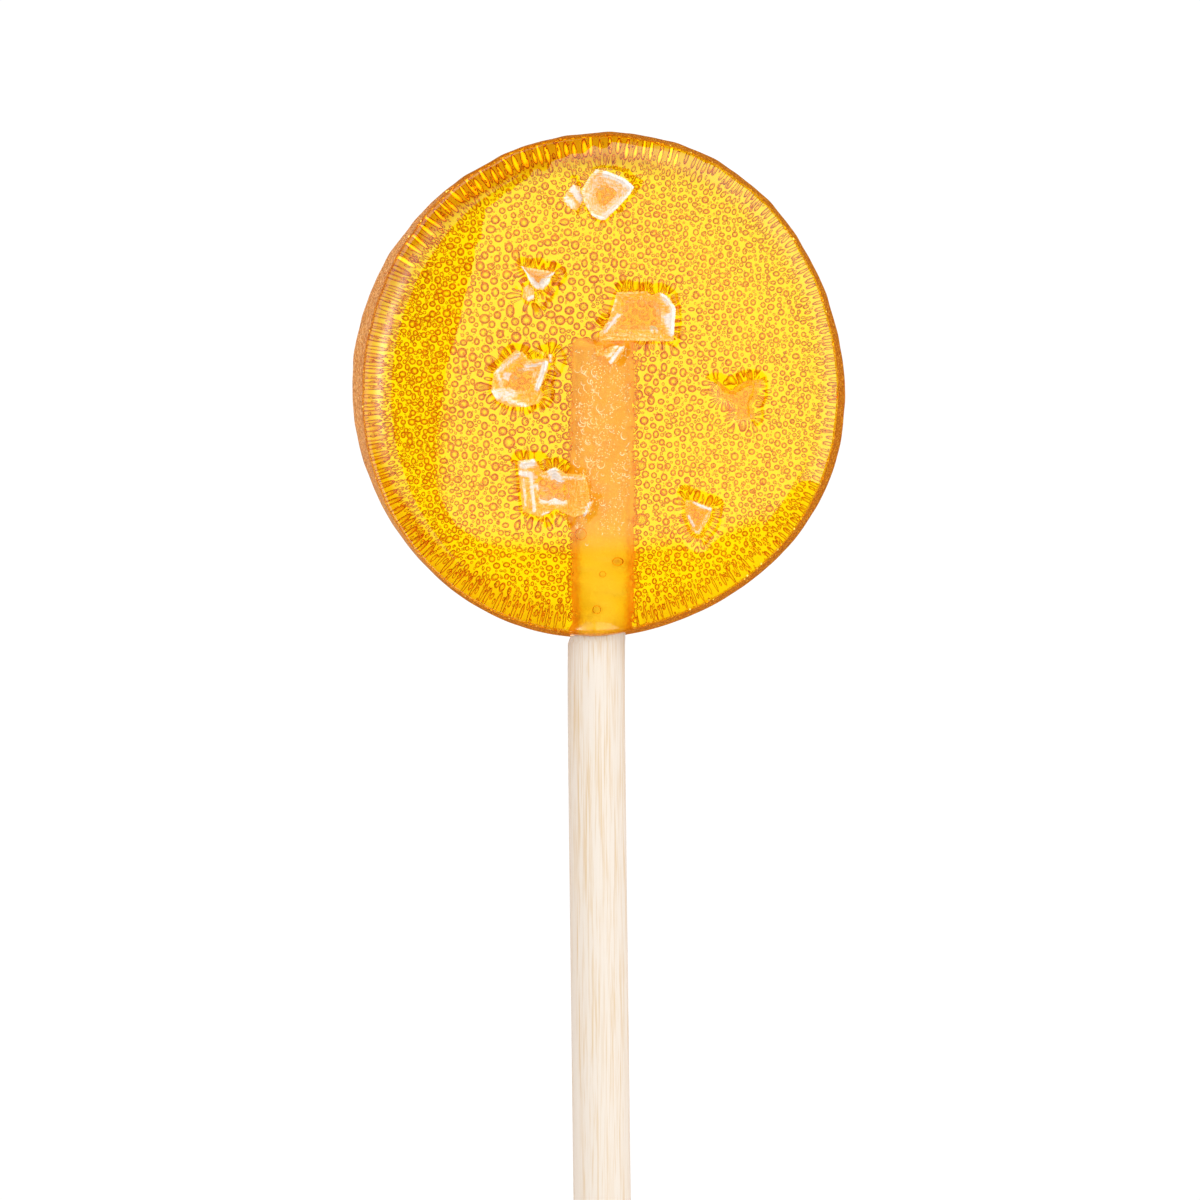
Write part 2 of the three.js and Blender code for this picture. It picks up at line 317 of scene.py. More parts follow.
# The smaller broken crystals, in the same way.
CRUMBS = {
    "top": {
        "at": (-2.6, 18.9),
        "corners": (
            (0, 1.35), (0.65, 1.15), (1.05, -0.3), (0.3, -1.3), (-0.4, -1.05), (-1.1, -0.2),
            (-0.6, 0.65),
        ),
        "frost": (
            (0, 0.85, 0.65, -0.1, 0.45, 1), (-0.6, -0.1, 0, -0.7, 0.4, 0.9),
            (-0.4, 0.55, -0.6, 0.2, 0.3, 0.6),
        ),
        "film": 0.45, "dip": 0.3,
    },
    "high": {
        "at": (-7.2, 9.1),
        "corners": (
            (-0.45, 0.6), (0.05, 0.9), (0.6, 0.4), (0.6, -0.55), (0.05, -0.8),
            (-0.55, -0.4),
        ),
        "frost": (
            (-0.15, 0.5, 0.2, 0.1, 0.35, 0.6), (0.05, -0.55, 0.45, -0.3, 0.25, 0.9),
        ),
        "film": 0.4,
    },
    "stick": {
        "at": (1.7, 3),
        "corners": (
            (-0.4, 0.8), (1, 0.8), (1, 0.5), (0.05, -0.9), (-0.5, -1.1), (-1.45, 0.15),
        ),
        "frost": (
            (0.6, 0.6, -0.5, -0.9, 0.25, 1), (0.15, 0.75, -0.6, -0.25, 0.25, 0.75),
            (-1, 0.25, -0.8, -0.15, 0.15, 0.6),
        ),
        "film": 0.3,
    },
    "drop": {
        "at": (0.1, 3.3),
        "corners": (
            (-0.5, 0.5), (0.35, 0.45), (0.45, -0.55), (-0.3, -0.55),
        ),
        "frost": (
            (-0.3, 0.3, 0.05, -0.35, 0.15, 0.3),
        ),
        "film": 0.2,
    },
    "low": {
        "at": (-1.2, -12.8),
        "corners": (
            (0.1, 0.8), (0.65, 0.7), (0.2, -0.3), (-0.35, -0.9), (-0.55, -0.3),
        ),
        "frost": (
            (0.25, 0.55, -0.25, -0.75, 0.2, 1),
        ),
        "film": 0.4,
    },
    "left": {
        "at": (-4.9, 2.5),
        "corners": (
            (-0.25, 0.5), (0.2, 0.4), (0.15, -0.4), (-0.25, -0.4),
        ),
        "frost": (
            (-0.05, 0.3, -0.05, -0.2, 0.15, 0.7),
        ),
        "film": 0.3,
    },
}


def in_mm(lengths):
    return np.asarray(lengths, float) / MM


def smooth_max(a, b, blend):
    """The larger of two, with the step between them rounded over a width."""
    overlap = np.clip(blend - np.abs(a - b), 0, None) / blend
    return np.maximum(a, b) + overlap**2 * blend / 4


def smooth_step(x, low, high):
    """0 below low, 1 above high and smooth between them."""
    t = np.clip((x - low) / (high - low), 0, 1)
    return t * t * (3 - 2 * t)


def ring_points(radius, angle, height):
    """Points at a distance and a direction from the middle of the candy."""
    return np.column_stack((radius * np.cos(angle), radius * np.sin(angle), height))


def stick_centre(y):
    """Sideways place of the stick's axis, at a place along it."""
    place, slope, length, offset = STICK_BEND
    return offset + slope * (np.hypot(y - place, length) - length)


def buried_centre(y):
    """The same, but inside the candy where the stick seems to lie."""
    inside = smooth_step(y, *LEAVING)
    return stick_centre(y) * (1 - inside) + SOAKED_CENTRE * inside


def off_stick(rows, half_width, end, centre=SOAKED_CENTRE):
    """Which rows don't lie over the buried stick."""
    return (np.abs(rows[:, 0] - centre) > half_width) | (rows[:, 1] > end)


def stroke_distance(x, y, x0, y0, x1, y1):
    """Distance from a straight stroke."""
    dx, dy = x1 - x0, y1 - y0
    along = np.clip(((x - x0) * dx + (y - y0) * dy) / (dx * dx + dy * dy), 0, 1)
    return np.hypot(x - x0 - along * dx, y - y0 - along * dy)


def outline_distance(x, y, corners):
    """Distance outside a closed outline, 0 inside it."""
    away = np.full_like(x, np.inf)
    inside = np.zeros(x.shape, bool)
    for (x0, y0), (x1, y1) in zip(corners, np.roll(corners, -1, axis=0)):
        away = np.minimum(away, stroke_distance(x, y, x0, y0, x1, y1))
        crosses = (y0 > y) != (y1 > y)
        rise = np.where(crosses, y1 - y0, 1)
        inside ^= crosses & (x < x0 + (x1 - x0) * (y - y0) / rise)
    return np.where(inside, 0, away)


class CandyShape:
    """The candy's surface."""

    def __init__(self, settings):
        self.radius = settings.radius / MM
        self.crown = settings.crown / MM
        self.roll = settings.roll_width / MM
        self.lip = settings.lip / MM
        self.dimple = settings.dimple / MM
        self.dimple_width = settings.dimple_width / MM
        self.shoulder = self.radius - TURNED_DRAFT
        self.flat = self.shoulder - self.roll
        # The face leans a little more all the way out, and then rolls over at the rim.
        self.radii = np.linspace(0, self.shoulder, 1200)
        lean = 2 * self.crown * self.radii / self.flat**2
        share = np.clip((self.radii - self.flat) / self.roll, 0, 1)
        lean = lean + ROLL_LEAN * share**ROLL_POWER
        drop = np.cumsum(np.tan(lean)) * (self.radii[1] - self.radii[0])
        self.heights = THICKNESS - drop
        self.wall = float(self.heights[-1])

    def face(self, radius):
        """Height of the face above the back, at a distance from the middle."""
        return np.interp(radius, self.radii, self.heights)

    def flatter(self, angle):
        """How much of the flatter rim there is: 1 a little below the right, 0 opposite."""
        return 0.5 + 0.5 * np.cos(angle - math.radians(FLATTEST_AT))

    def crease(self, angle):
        """Distance of the crease between rim and wall from the middle."""
        radius = np.full_like(angle, self.shoulder)
        height = np.full_like(angle, self.wall)
        return np.hypot(*self.pour(ring_points(radius, angle, height)).T[:2])

    def inside_crease(self, angle, inset):
        """Distance from the middle of a line inside the crease, nearer it on the right."""
        return self.crease(angle) - inset + 0.8 * self.flatter(angle)

    def edge(self, angle):
        """Distance of the back's uneven edge from the middle."""
        radius = np.full_like(angle, self.radius)
        for count, height, crest in EDGE_SWELLS:
            radius = radius + height * np.cos(count * (angle - math.radians(crest)))
        return radius

    def profile(self):
        """Radius and height from the middle of the face over the rim to the back."""
        flat_rings = np.linspace(0, self.flat, 58)[1:]
        roll_rings = np.linspace(self.flat, self.shoulder, 15)[1:]
        rows = [(r, self.face(r)) for r in (*flat_rings, *roll_rings)]
        rise = self.lip - self.wall
        for share in np.linspace(0, 1, 13)[1:]:
            rows.append((self.shoulder + TURNED_DRAFT * share, self.wall + rise * share))
        for turn in np.linspace(0, math.pi / 2, 7)[1:]:
            inset, height = 1 - math.cos(turn), 1 - math.sin(turn)
            rows.append((self.radius - self.lip * inset, self.lip * height))
        rows += [(r, 0.0) for r in np.linspace(self.radius - self.lip, 0, 8)[1:-1]]
        return rows

    def collar_rise(self, x, y):
        """How far the candy climbs above the face beside the stick."""
        face = self.face(np.hypot(x, y))
        wall = COLLAR_WALL - COLLAR_FALL * np.clip(-y - COLLAR_THINS, 0, None)
        radius = STICK_RADIUS + wall * smooth_step(-y, *COLLAR_START)
        offset = x - stick_centre(y)
        sheath = STICK_AXIS + radius - offset**2 / (2 * radius)
        rise = smooth_max(face, sheath, COLLAR_BLEND) - face
        return np.where(y > 0, 0, rise)

    def collar_reach(self, x, y, wall_share):
        """How far the foot of the collar runs out along the stick."""
        offset = (x - stick_centre(y)) / COLLAR_HALF_WIDTH
        rim = smooth_step(np.hypot(x, y), self.flat, self.shoulder)
        down = 1 - wall_share
        reach = COLLAR_REACH * smooth_step(down, 0, 0.1) - COLLAR_BACK * down
        return np.where(y > 0, 0, np.exp(-(offset**2)) * rim * reach)

    def dips(self, x, y):
        """How far the face dips beside the salt flakes."""
        depth = np.zeros_like(x)
        for chip in (*FLAKES.values(), *CRUMBS.values()):
            middle = chip["at"]
            dx, dy = x - middle[0], y - middle[1]
            near = np.hypot(dx, dy) < DIP_SEARCH
            corners = FOOT_SHARE * np.array(chip["corners"])
            outside = outline_distance(dx[near], dy[near], corners)
            angle = np.arctan2(dy[near], dx[near])
            phase = middle[0]
            most = self.dimple * chip.get("dip", 1)
            width = self.dimple_width * (
                1 + 0.12 * np.sin(5 * angle + phase) + 0.08 * np.sin(9 * angle - phase)
            )
            share = np.clip(1 - outside / width, 0, 1)
            depth[near] = np.maximum(depth[near], most * share**2)
        over_stick = smooth_step(x, -3.4, -2.4) * smooth_step(-x, -4.4, -3.4)
        over_stick = over_stick * smooth_step(-y, -5.5, -4.2)
        in_rim = smooth_step(np.hypot(x, y), *DIPS_END)
        return depth * (1 - 0.8 * over_stick) * (1 - in_rim)

    def pour(self, points):
        """Moves the points of the plain turned disc to where the poured one has them."""
        x, y, z = points.T
        angle = np.arctan2(y, x)
        radius = np.hypot(x, y)
        low_right = self.flatter(angle)
        narrow = ROLL_NARROWER * low_right
        inward = np.clip(self.shoulder - radius, 0, None)
        narrow = narrow * smooth_step(radius, 12, 20) * inward
        x, y = (1 + narrow / np.maximum(radius, 1)) * (x, y)
        radius = radius + narrow
        brow = self.face(self.flat)
        dropped = np.clip((brow - z) / (brow - self.wall), 0, 1)
        wall_share = np.clip(z / self.wall, 0, 1)
        raised = ROLL_FLATTER * low_right * (brow - self.wall)
        raised = raised * np.where(z > self.wall, dropped, wall_share)
        rise = wall_share * self.collar_rise(x, y)
        top = smooth_step(z, self.wall - 0.5, self.wall + 0.5)
        # The wall leans in by a different amount on each side.
        mean, side, along, *waves = WALL_DRAFT
        draft = mean + side * np.cos(angle) + along * np.sin(angle)
        turned = angle + math.radians(WALL_TURN)
        for count, wave in enumerate(waves, 2):
            draft = draft + wave * np.cos(count * turned)
        lean = (TURNED_DRAFT - draft) * wall_share
        rim = smooth_step(radius, 12, self.shoulder)
        wobble = 0.05 * np.sin(17 * angle + 1) + 0.04 * np.sin(29 * angle + 2)
        wobble += 0.03 * np.sin(43 * angle + 4 + 0.4 * z) + 0.02 * np.sin(71 * angle)
        rough = 0.45 + 0.3 * np.cos(angle - math.radians(95))
        swell = (self.edge(angle) + (wobble * rough + lean) * rim) / self.radius
        reach = self.collar_reach(x, y, wall_share)
        new_z = z + rise + raised - self.dips(x, y) * top
        return np.column_stack((x * swell, y * swell - reach, new_z))


# ---- Making pieces -----------------------------------------------------------------------


def deselect_all():
    if bpy.context.object and bpy.context.object.mode != "OBJECT":
        bpy.ops.object.mode_set(mode="OBJECT")
    bpy.ops.object.select_all(action="DESELECT")


def start_piece(name, primitive, **settings):
    """Adds a primitive, with nothing else selected, and names it."""
    deselect_all()
    primitive(**settings)
    piece = bpy.context.object
    piece.name = piece.data.name = name
    return piece


def add_piece(name, mesh):
    piece = bpy.data.objects.new(name, mesh)
    bpy.context.scene.collection.objects.link(piece)
    return piece


def points_of(mesh):
    points = np.empty(len(mesh.vertices) * 3)
    mesh.vertices.foreach_get("co", points)
    return points.reshape(-1, 3)


def move_points(mesh, points):
    mesh.vertices.foreach_set("co", np.ascontiguousarray(points, np.float32).ravel())
    mesh.update()


def shape_with(piece, change):
    """Shapes a piece with a function of its points in millimetres."""
    move_points(piece.data, change(in_mm(points_of(piece.data))) * MM)


def store(piece, name, values):
    """Keeps a number at each point of a piece, for its finish."""
    layer = piece.data.attributes.new(name, "FLOAT", "POINT")
    layer.data.foreach_set("value", values.astype(np.float32))


def extrude(x, y, z):
    """Extrudes what is selected by a step in metres."""
    bpy.ops.mesh.extrude_region_move(
        TRANSFORM_OT_translate={"value": (x, y, z), "orient_type": "GLOBAL"}
    )


def turn_profile(name, rows, steps):
    """Spins a profile of radius and height, in millimetres, about the Z axis."""
    piece = start_piece(name, bpy.ops.mesh.primitive_plane_add, size=2 * MM)
    bpy.ops.object.mode_set(mode="EDIT")
    bpy.ops.mesh.select_all(action="SELECT")
    bpy.ops.mesh.merge(type="CENTER")
    bpy.ops.transform.translate(
        value=(rows[0][0] * MM, 0, rows[0][1] * MM), orient_type="GLOBAL"
    )
    for (r0, z0), (r1, z1) in zip(rows, rows[1:]):
        extrude((r1 - r0) * MM, 0, (z1 - z0) * MM)
    bpy.ops.mesh.select_all(action="SELECT")
    bpy.ops.mesh.spin(
        steps=steps, angle=2 * math.pi, center=(0, 0, 0), axis=(0, 0, 1)
    )
    bpy.ops.mesh.select_all(action="SELECT")
    bpy.ops.mesh.remove_doubles(threshold=0.002 * MM)
    bpy.ops.mesh.normals_make_consistent(inside=False)
    bpy.ops.mesh.faces_shade_smooth()
    bpy.ops.object.mode_set(mode="OBJECT")
    return piece


def place(piece, finish, slot, *nodes):
    """A piece gets its finish, rides on the lollipop and stands for what it covers."""
    piece.data.materials.append(finish)
    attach(piece, "root")
    if nodes:
        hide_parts(*nodes)


# ---- Materials ---------------------------------------------------------------------------

# How strongly the candy bends light, and how strongly it seems to round a bubble: in the
# middle, and next to the rim, where the air is also given a tint above 1, painted light that
# brightens it.
CANDY_BEND, AIR_BEND, RIM_AIR_BEND = 1.5, 1.33, 1.27
RIM_AIR_PAINTED_LIGHT = (1.35, 1.55, 0.9)


class Value:
    """A shader socket that can be used in a sum."""

    def __init__(self, board, socket):
        self.board, self.socket = board, socket

    def math(self, operation, *others):
        return self.board.math(operation, self, *others)

    def __add__(self, other):
        return self.math("ADD", other)

    __radd__ = __add__

    def __sub__(self, other):
        return self.math("SUBTRACT", other)

    def __rsub__(self, other):
        return self.board.math("SUBTRACT", other, self)

    def __mul__(self, other):
        return self.math("MULTIPLY", other)

    __rmul__ = __mul__

    def __truediv__(self, other):
        return self.math("DIVIDE", other)

    def __pow__(self, other):
        return self.math("POWER", other)

    def __neg__(self):
        return self * -1.0

    def __abs__(self):
        return self.math("ABSOLUTE")

    def most(self, other):
        """The larger of the two."""
        return self.math("MAXIMUM", other)

    def between(self, low, high):
        """0 below low, 1 above high and smooth between them."""
        return self.board.node(
            "ShaderNodeMapRange",
            {"interpolation_type": "SMOOTHSTEP"},
            {"Value": self, "From Min": low, "From Max": high},
        )


class Board:
    """The node tree of one material or of the world."""

    def __init__(self, owner):
        self.owner = owner
        owner.use_nodes = True
        self.tree = owner.node_tree
        self.tree.nodes.clear()

    def node(self, kind, settings=None, values=None, output=0):
        node = self.tree.nodes.new(kind)
        for name, setting in (settings or {}).items():
            setattr(node, name, setting)
        for name, value in (values or {}).items():
            if isinstance(value, Value):
                self.tree.links.new(value.socket, node.inputs[name])
            else:
                node.inputs[name].default_value = value
        return Value(self, node.outputs[output]) if node.outputs else None

    def math(self, operation, *numbers):
        values = dict(enumerate(numbers))
        return self.node("ShaderNodeMath", {"operation": operation}, values)

    def places(self, scale=(1, 1, 1)):
        """Places on the piece in millimetres, stretched by a scale."""
        spots = self.node("ShaderNodeTexCoord", output="Object")
        return self.node(
            "ShaderNodeMapping",
            values={"Vector": spots, "Scale": tuple(s / MM for s in scale)},
        )

    def parts(self, spots=None):
        """The three numbers of a place, by default of the place on the piece in metres."""
        spots = spots or self.node("ShaderNodeTexCoord", output="Object")
        return [
            self.node("ShaderNodeSeparateXYZ", values={"Vector": spots}, output=i)
            for i in range(3)
        ]

    def stored(self, name):
        """A number that the points of the piece hold."""
        return self.node("ShaderNodeAttribute", {"attribute_name": name}, output="Fac")

    def ray(self, kind):
        """1 for rays of one kind."""
        return self.node("ShaderNodeLightPath", output=f"Is {kind} Ray")

    def noise(self, spots, scale, detail=3.0, roughness=0.55):
        return self.node(
            "ShaderNodeTexNoise",
            values={
                "Vector": spots,
                "Scale": scale,
                "Detail": detail,
                "Roughness": roughness,
            },
        )

    def blend(self, factor, first, second):
        """A colour that runs from the first to the second."""
        return self.node(
            "ShaderNodeMix",
            {"data_type": "RGBA"},
            {"Factor": factor, 6: solid(first), 7: solid(second)},
            output=2,
        )

    def layers(self, colour, *coats):
        """A colour with others laid over it, each by a share of its own."""
        for share, coat in coats:
            colour = self.blend(share, colour, coat)
        return colour

    def mix(self, share, first, second):
        """A surface that runs from the first to the second."""
        return self.node("ShaderNodeMixShader", values={0: share, 1: first, 2: second})

    def surface(self, colour, roughness, glow=None, strength=0.0, others=None):
        """An everyday surface, which can give out a little light of its own."""
        values = {"Base Color": solid(colour), "Roughness": roughness}
        if glow:
            values |= {"Emission Color": solid(glow), "Emission Strength": strength}
        return self.node("ShaderNodeBsdfPrincipled", values=values | (others or {}))

    def light(self, strength, colour=(1, 1, 1)):
        return self.node(
            "ShaderNodeEmission", values={"Color": solid(colour), "Strength": strength}
        )

    def bump(self, height, distance, strength):
        """Bumps of a height in millimetres."""
        return self.node(
            "ShaderNodeBump",
            values={"Height": height, "Distance": distance * MM, "Strength": strength},
        )

    def finish(self, surface, volume=None, kind="Material"):
        """Puts the surface and volume to use, and gives back the finished material."""
        values = {"Surface": surface, "Volume": volume} if volume else {"Surface": surface}
        self.node(f"ShaderNodeOutput{kind}", values=values)
        return self.owner


def solid(colour):
    """A colour with its fourth number, or the value of a colour as it is."""
    return colour if isinstance(colour, Value) else (*colour, 1.0)


def scaled(colour, shares):
    """A colour with its red, green and blue taken down by shares."""
    return [c * share for c, share in zip(colour, shares)]


def new_board(name):
    return Board(bpy.data.materials.new(name))


def candy_material(settings):
    board = new_board("clear_candy")
    spots = board.places()
    x, y, z = board.parts(spots)
    away = (x * x + y * y) ** 0.5
    # The rolled rim is tinted amber, painted shade: further in and darker at the top left,
    # paler at the right, and not over the stick.
    top_left = ((y * 0.9 - x * 0.44) / away).between(0.35, 0.95)
    rim = away.between(21.6, 24.2).most(away.between(21.0, 23.4) * top_left)
    rim = rim * z.between(1.0, 3.0)
    rim = rim * abs(x - SOAKED_CENTRE).between(3.0, 4.4).most(y.between(-1.0, 1.0))
    right = (x / away).between(0.1, 0.8)
    amber = board.layers(
        settings.rim, (top_left, settings.rim_shade_dark), (right, settings.rim_shade_pale)
    )
    # The wall is tinted dark amber, painted shade.
    wall = board.stored("wall")
    clear = board.surface(
        board.layers((1, 1, 1), (rim, amber), (wall, settings.wall)),
        0.0,
        others={"IOR": CANDY_BEND, "Transmission Weight": 1.0},
    )
    # Pale and dark dust lies on the wall at the left.
    left = (x / away * -1.0 + y / away * 0.25).between(0.72, 0.95)
    above_foot = z.between(0.0, 0.3)
    grain = board.noise(board.places((1.5, 0.7, 1.2)), 3.6, 3.0, 0.65)
    speck = board.noise(spots, 2.6, 2.0, 0.5).between(0.52, 0.6)
    colour = board.layers(
        (0.3, 0.1, 0.02),
        (grain.between(0.42, 0.62), (0.8, 0.43, 0.18)),
        (speck * z.between(4.2, 6.1), (0.4, 0.13, 0.02)),
    )
    dusty = board.node("ShaderNodeBsdfDiffuse", values={"Color": colour})
    dust = wall * (left * 0.76 + 0.01) * grain.between(0.38, 0.54) * above_foot
    dust = dust * (1 - 0.9 * z.between(5.5, 6.1))
    surface = board.mix(dust, clear, dusty)
    # Away from the left the wall has fine dark grains and glowing gold ones, painted
    # sparkles of light caught behind the wall.
    fine = board.noise(spots, 3.0, 3.0, 0.7)
    painted_glint_mask = fine.between(0.5, 0.62)
    painted_gold_glints = board.surface(
        board.blend(painted_glint_mask, (0.3, 0.09, 0.0), (0.8, 0.38, 0.03)),
        0.3,
        board.blend(painted_glint_mask, (0.3, 0.07, 0.0), (1.0, 0.55, 0.04)),
        0.3,
        {"Specular IOR Level": 0.2},
    )
    share = fine.between(0.52, 0.62) * 0.36 + 0.14
    surface = board.mix(wall * (1 - left) * above_foot * share, surface, painted_gold_glints)
    lost = np.array(settings.absorption)
    density = float(lost.max()) * 1.001
    depth = board.node(
        "ShaderNodeVolumeAbsorption",
        values={"Color": solid((1 - lost / density).tolist()), "Density": density},
    )
    return board.finish(surface, depth)


def bubble_material(name, painted_light_tint, bend):
    """Air in candy, which bends the light from below through a tint that brightens it where
    above 1 (painted light), with its reflection tinted orange (painted shade on the rings).
    """
    board = new_board(name)
    through = board.node(
        "ShaderNodeBsdfRefraction",
        values={"Color": solid(painted_light_tint), "Roughness": 0.0, "IOR": 1 / bend},
    )
    # The reflection is tinted orange, painted shade that darkens the rings.
    turned_back = board.node(
        "ShaderNodeBsdfAnisotropic",
        values={"Color": (1.0, 0.68, 0.3, 1), "Roughness": 0.0},
    )
    share = board.node("ShaderNodeFresnel", values={"IOR": 1 / bend})
    return board.finish(board.mix(share, through, turned_back))


def painted_glow_material(name, colour, roughness, glow, strength):
    """Opaque specks that glow, painted glints that stand in for bubbles too small to see
    through, which catch the light.
    """
    board = new_board(name)
    return board.finish(board.surface(colour, roughness, glow, strength))


def wood_material(settings):
    board = new_board("pale_wood")
    grain = board.noise(board.places((1, 0.025, 1)), 4.6, 3.0, 0.6)
    broad = board.noise(board.places((1, 0.02, 1)), 0.9, 2.0, 0.5)
    colour = board.blend(
        grain.between(0.44, 0.66) * broad.between(0.2, 0.6),
        settings.colour,
        scaled(settings.colour, (0.9, 0.76, 0.56)),
    )
    bumps = board.bump(grain, 0.05, 0.5)
    return board.finish(board.surface(colour, 0.62, others={"Normal": bumps}))


def soaked_material():
    """Wood full of candy: pink in the middle and golden below. Its glow, its lighter glowing
    edges and the pale band at its foot are painted light; the darker orange margins low down
    are painted shade.
    """
    board = new_board("soaked_wood")
    spots = board.places()
    speck = board.noise(spots, 3.2, 4.0, 0.65)
    cloud = board.noise(board.places((1, 0.4, 1)), 0.45, 2.0, 0.5)
    x, y, _ = board.parts(spots)
    offset = x - SOAKED_CENTRE
    low = (-y).between(12.0, 19.0)
    painted_shade_margin = abs(offset + (speck - 0.5) * 1.2).between(1.9, 3.0)
    colour = board.layers(
        (1.0, 0.56, 0.4),
        (cloud.between(0.35, 0.65), (0.98, 0.49, 0.3)),
        (speck.between(0.54, 0.7) * 0.7, (1.0, 0.74, 0.62)),
        # Lighter at the edges, painted light against the shade at the sides.
        (abs(offset).between(2.5, 3.1), (1.0, 0.6, 0.36)),
        # Low down the margins are darker orange, painted shade.
        (low, board.blend(painted_shade_margin, (1.0, 0.75, 0.2), (1.0, 0.44, 0.07))),
        # A pale band at the foot, a painted reflection of the collar's lip.
        ((-y).between(25.15, 25.45), (1.0, 0.66, 0.42)),
    )
    end = y.between(BURIED_END - 0.5, BURIED_END - 0.1)
    edge = abs(offset).between(2.6, 3.0).most(end)
    # The glow is painted light, strongest at the edges and the end.
    glow = board.layers(
        (0.35, 0.15, 0.0), (low, (0.5, 0.1, 0.0)), (edge, (0.95, 0.42, 0.06))
    )
    bumps = board.bump(speck, 0.1, 0.6)
    return board.finish(board.surface(colour, 0.55, glow, 0.36, {"Normal": bumps}))


def salt_material(settings):
    """Salt that is white where it is frosted and lets the amber through elsewhere, and glows
    a little: painted light that lifts its shade.
    """
    board = new_board("sea_salt")
    spots = board.places()
    frost = board.stored("frost")
    hatch = board.noise(board.places((0.7, 5.0, 1.0)), 2.2, 3.0, 0.6)
    cross = board.noise(board.places((5.0, 0.7, 1.0)), 2.2, 3.0, 0.6)
    speck = board.noise(spots, 3.4, 3.0, 0.6)
    patch = board.noise(spots, 0.8, 2.0, 0.5).between(0.45, 0.55)
    streaks = board.node(
        "ShaderNodeMix", {"data_type": "FLOAT"}, {"Factor": patch, 2: hatch, 3: cross}
    )
    level = frost * 1.25 - 0.3 + (streaks - 0.5) * 2.2 + (speck - 0.5) * 1.1
    some, much = level.between(0.05, 0.5), level.between(0.4, 0.85)
    amber = scaled(settings.colour, (0.92, 0.42, 0.05))
    tan = scaled(settings.colour, (0.98, 0.7, 0.32))
    colour = board.layers(amber, (some, tan), (much, settings.colour))
    # The glow is painted light: it lifts the shaded hollows, most where the salt is amber.
    glow = board.layers(
        (1.0, 0.42, 0.03), (some, (0.5, 0.34, 0.16)), (much, (0.28, 0.25, 0.22))
    )
    bumps = board.bump(streaks + speck * 0.6, 0.08, 0.4)
    body = board.surface(colour, 0.4, glow, 0.6, {"Normal": bumps})
    clear = board.node(
        "ShaderNodeBsdfTransparent", values={"Color": (1.0, 0.95, 0.85, 1)}
    )
    share = level.between(-0.3, 0.5) * 0.72 + 0.28
    return board.finish(board.mix(share, clear, body))


def floor_material():
    """A floor lit from below, which the candy sees warmer the more it slants."""
    board = new_board("white_floor")
    mirrored = board.ray("Glossy") * (1 - board.ray("Transmission"))
    # The light from below is whitest straight up.
    slant = board.node("ShaderNodeLayerWeight", values={"Blend": 0.5}, output="Facing")
    low = board.layers(
        (1, 1, 1),
        (slant.between(0.012, 0.17), (0.84, 0.5, 0.22)),
        (slant.between(0.18, 0.45), (0.77, 0.33, 0.07)),
        (board.ray("Camera").most(board.ray("Diffuse")), (1, 1, 1)),
    )
    glow = board.light(0.92, low)
    matt = board.node("ShaderNodeBsdfDiffuse", values={"Color": (0.3, 0.3, 0.3, 1)})
    lit = board.node("ShaderNodeAddShader", values={0: glow, 1: matt})
    lit = board.mix(board.ray("Camera"), lit, board.light(1.05))
    # In the candy's own reflections the floor is pale at the left only.
    x, _, _ = board.parts()
    pale = board.layers(
        (0.25, 0.08, 0.01),
        ((-x).between(0.014, 0.024), (0.4, 0.22, 0.1)),
        ((-x).between(0.034, 0.05), (1, 0.95, 0.9)),
    )
    return board.finish(board.mix(mirrored, lit, board.light(1.8, pale)))


def studio_air():
    """A white studio, dim in reflections."""
    world = bpy.data.worlds.new("studio")
    board = Board(world)
    seen = board.ray("Camera").most(board.ray("Transmission"))
    level = seen * 0.95 + board.ray("Diffuse") * 0.95 + 0.05
    world.cycles.sampling_method = "NONE"
    air = board.node(
        "ShaderNodeBackground", values={"Color": (1, 1, 1, 1), "Strength": level}
    )
    return board.finish(air, kind="World")


# ---- Candy and bubbles -------------------------------------------------------------------

# How far out bubbles count as under the rim, from what radius on they count as big, and the
# least diameter.
RIM_START, BIG_BUBBLE, LEAST_BUBBLE = 21.3, 0.36, 0.24

# How many places are tried for a bubble, and after what share of them only small ones are.
TRIES, FILLERS_FROM = 130000, 0.3

# The rows of bubbles under the rim: where they are, how far in, spacing, radius and length.
# There is one row where the rim is steep, one of thin ones at the stick, and two elsewhere.
RIM_ROW_RADIUS = 22
RIM_ROWS = (
    ("steep", 0.14, 0.8, 0.29, 1.3),
    ("foot", 0.36, 0.82, 0.23, 2.0),
    ("flat", 0.0, 0.56, 0.26, 1.0),
    ("flat", 0.52, 0.66, 0.28, 1.0),
)

# The rows of bubbles beside the buried stick: number, side, and from where to where.
STICK_ROWS = ((48, 3.6, 3.5, -24.5), (26, -2.75, 3.8, -8.0), (16, -2.75, -14.0, -24.0))


class LOLLIPOP_OT_candy(bpy.types.Operator):
    """Pour the clear candy disc"""

    bl_idname = "lollipop.candy"
    bl_label = "Candy"

    def execute(self, context):
        settings = context.scene.lollipop_candy
        shape = CandyShape(settings)
        rows = [(0.0, THICKNESS), *shape.profile(), (0.0, 0.0)]
        candy = turn_profile("candy", rows, 360)
        z = in_mm(points_of(candy.data))[:, 2]
        store(candy, "wall", smooth_step(shape.wall + 0.1 - z, 0, 0.2) * (z > 0.3))
        shape_with(candy, shape.pour)
        place(candy, candy_material(settings), "candy", "candy_disc")
        return {"FINISHED"}


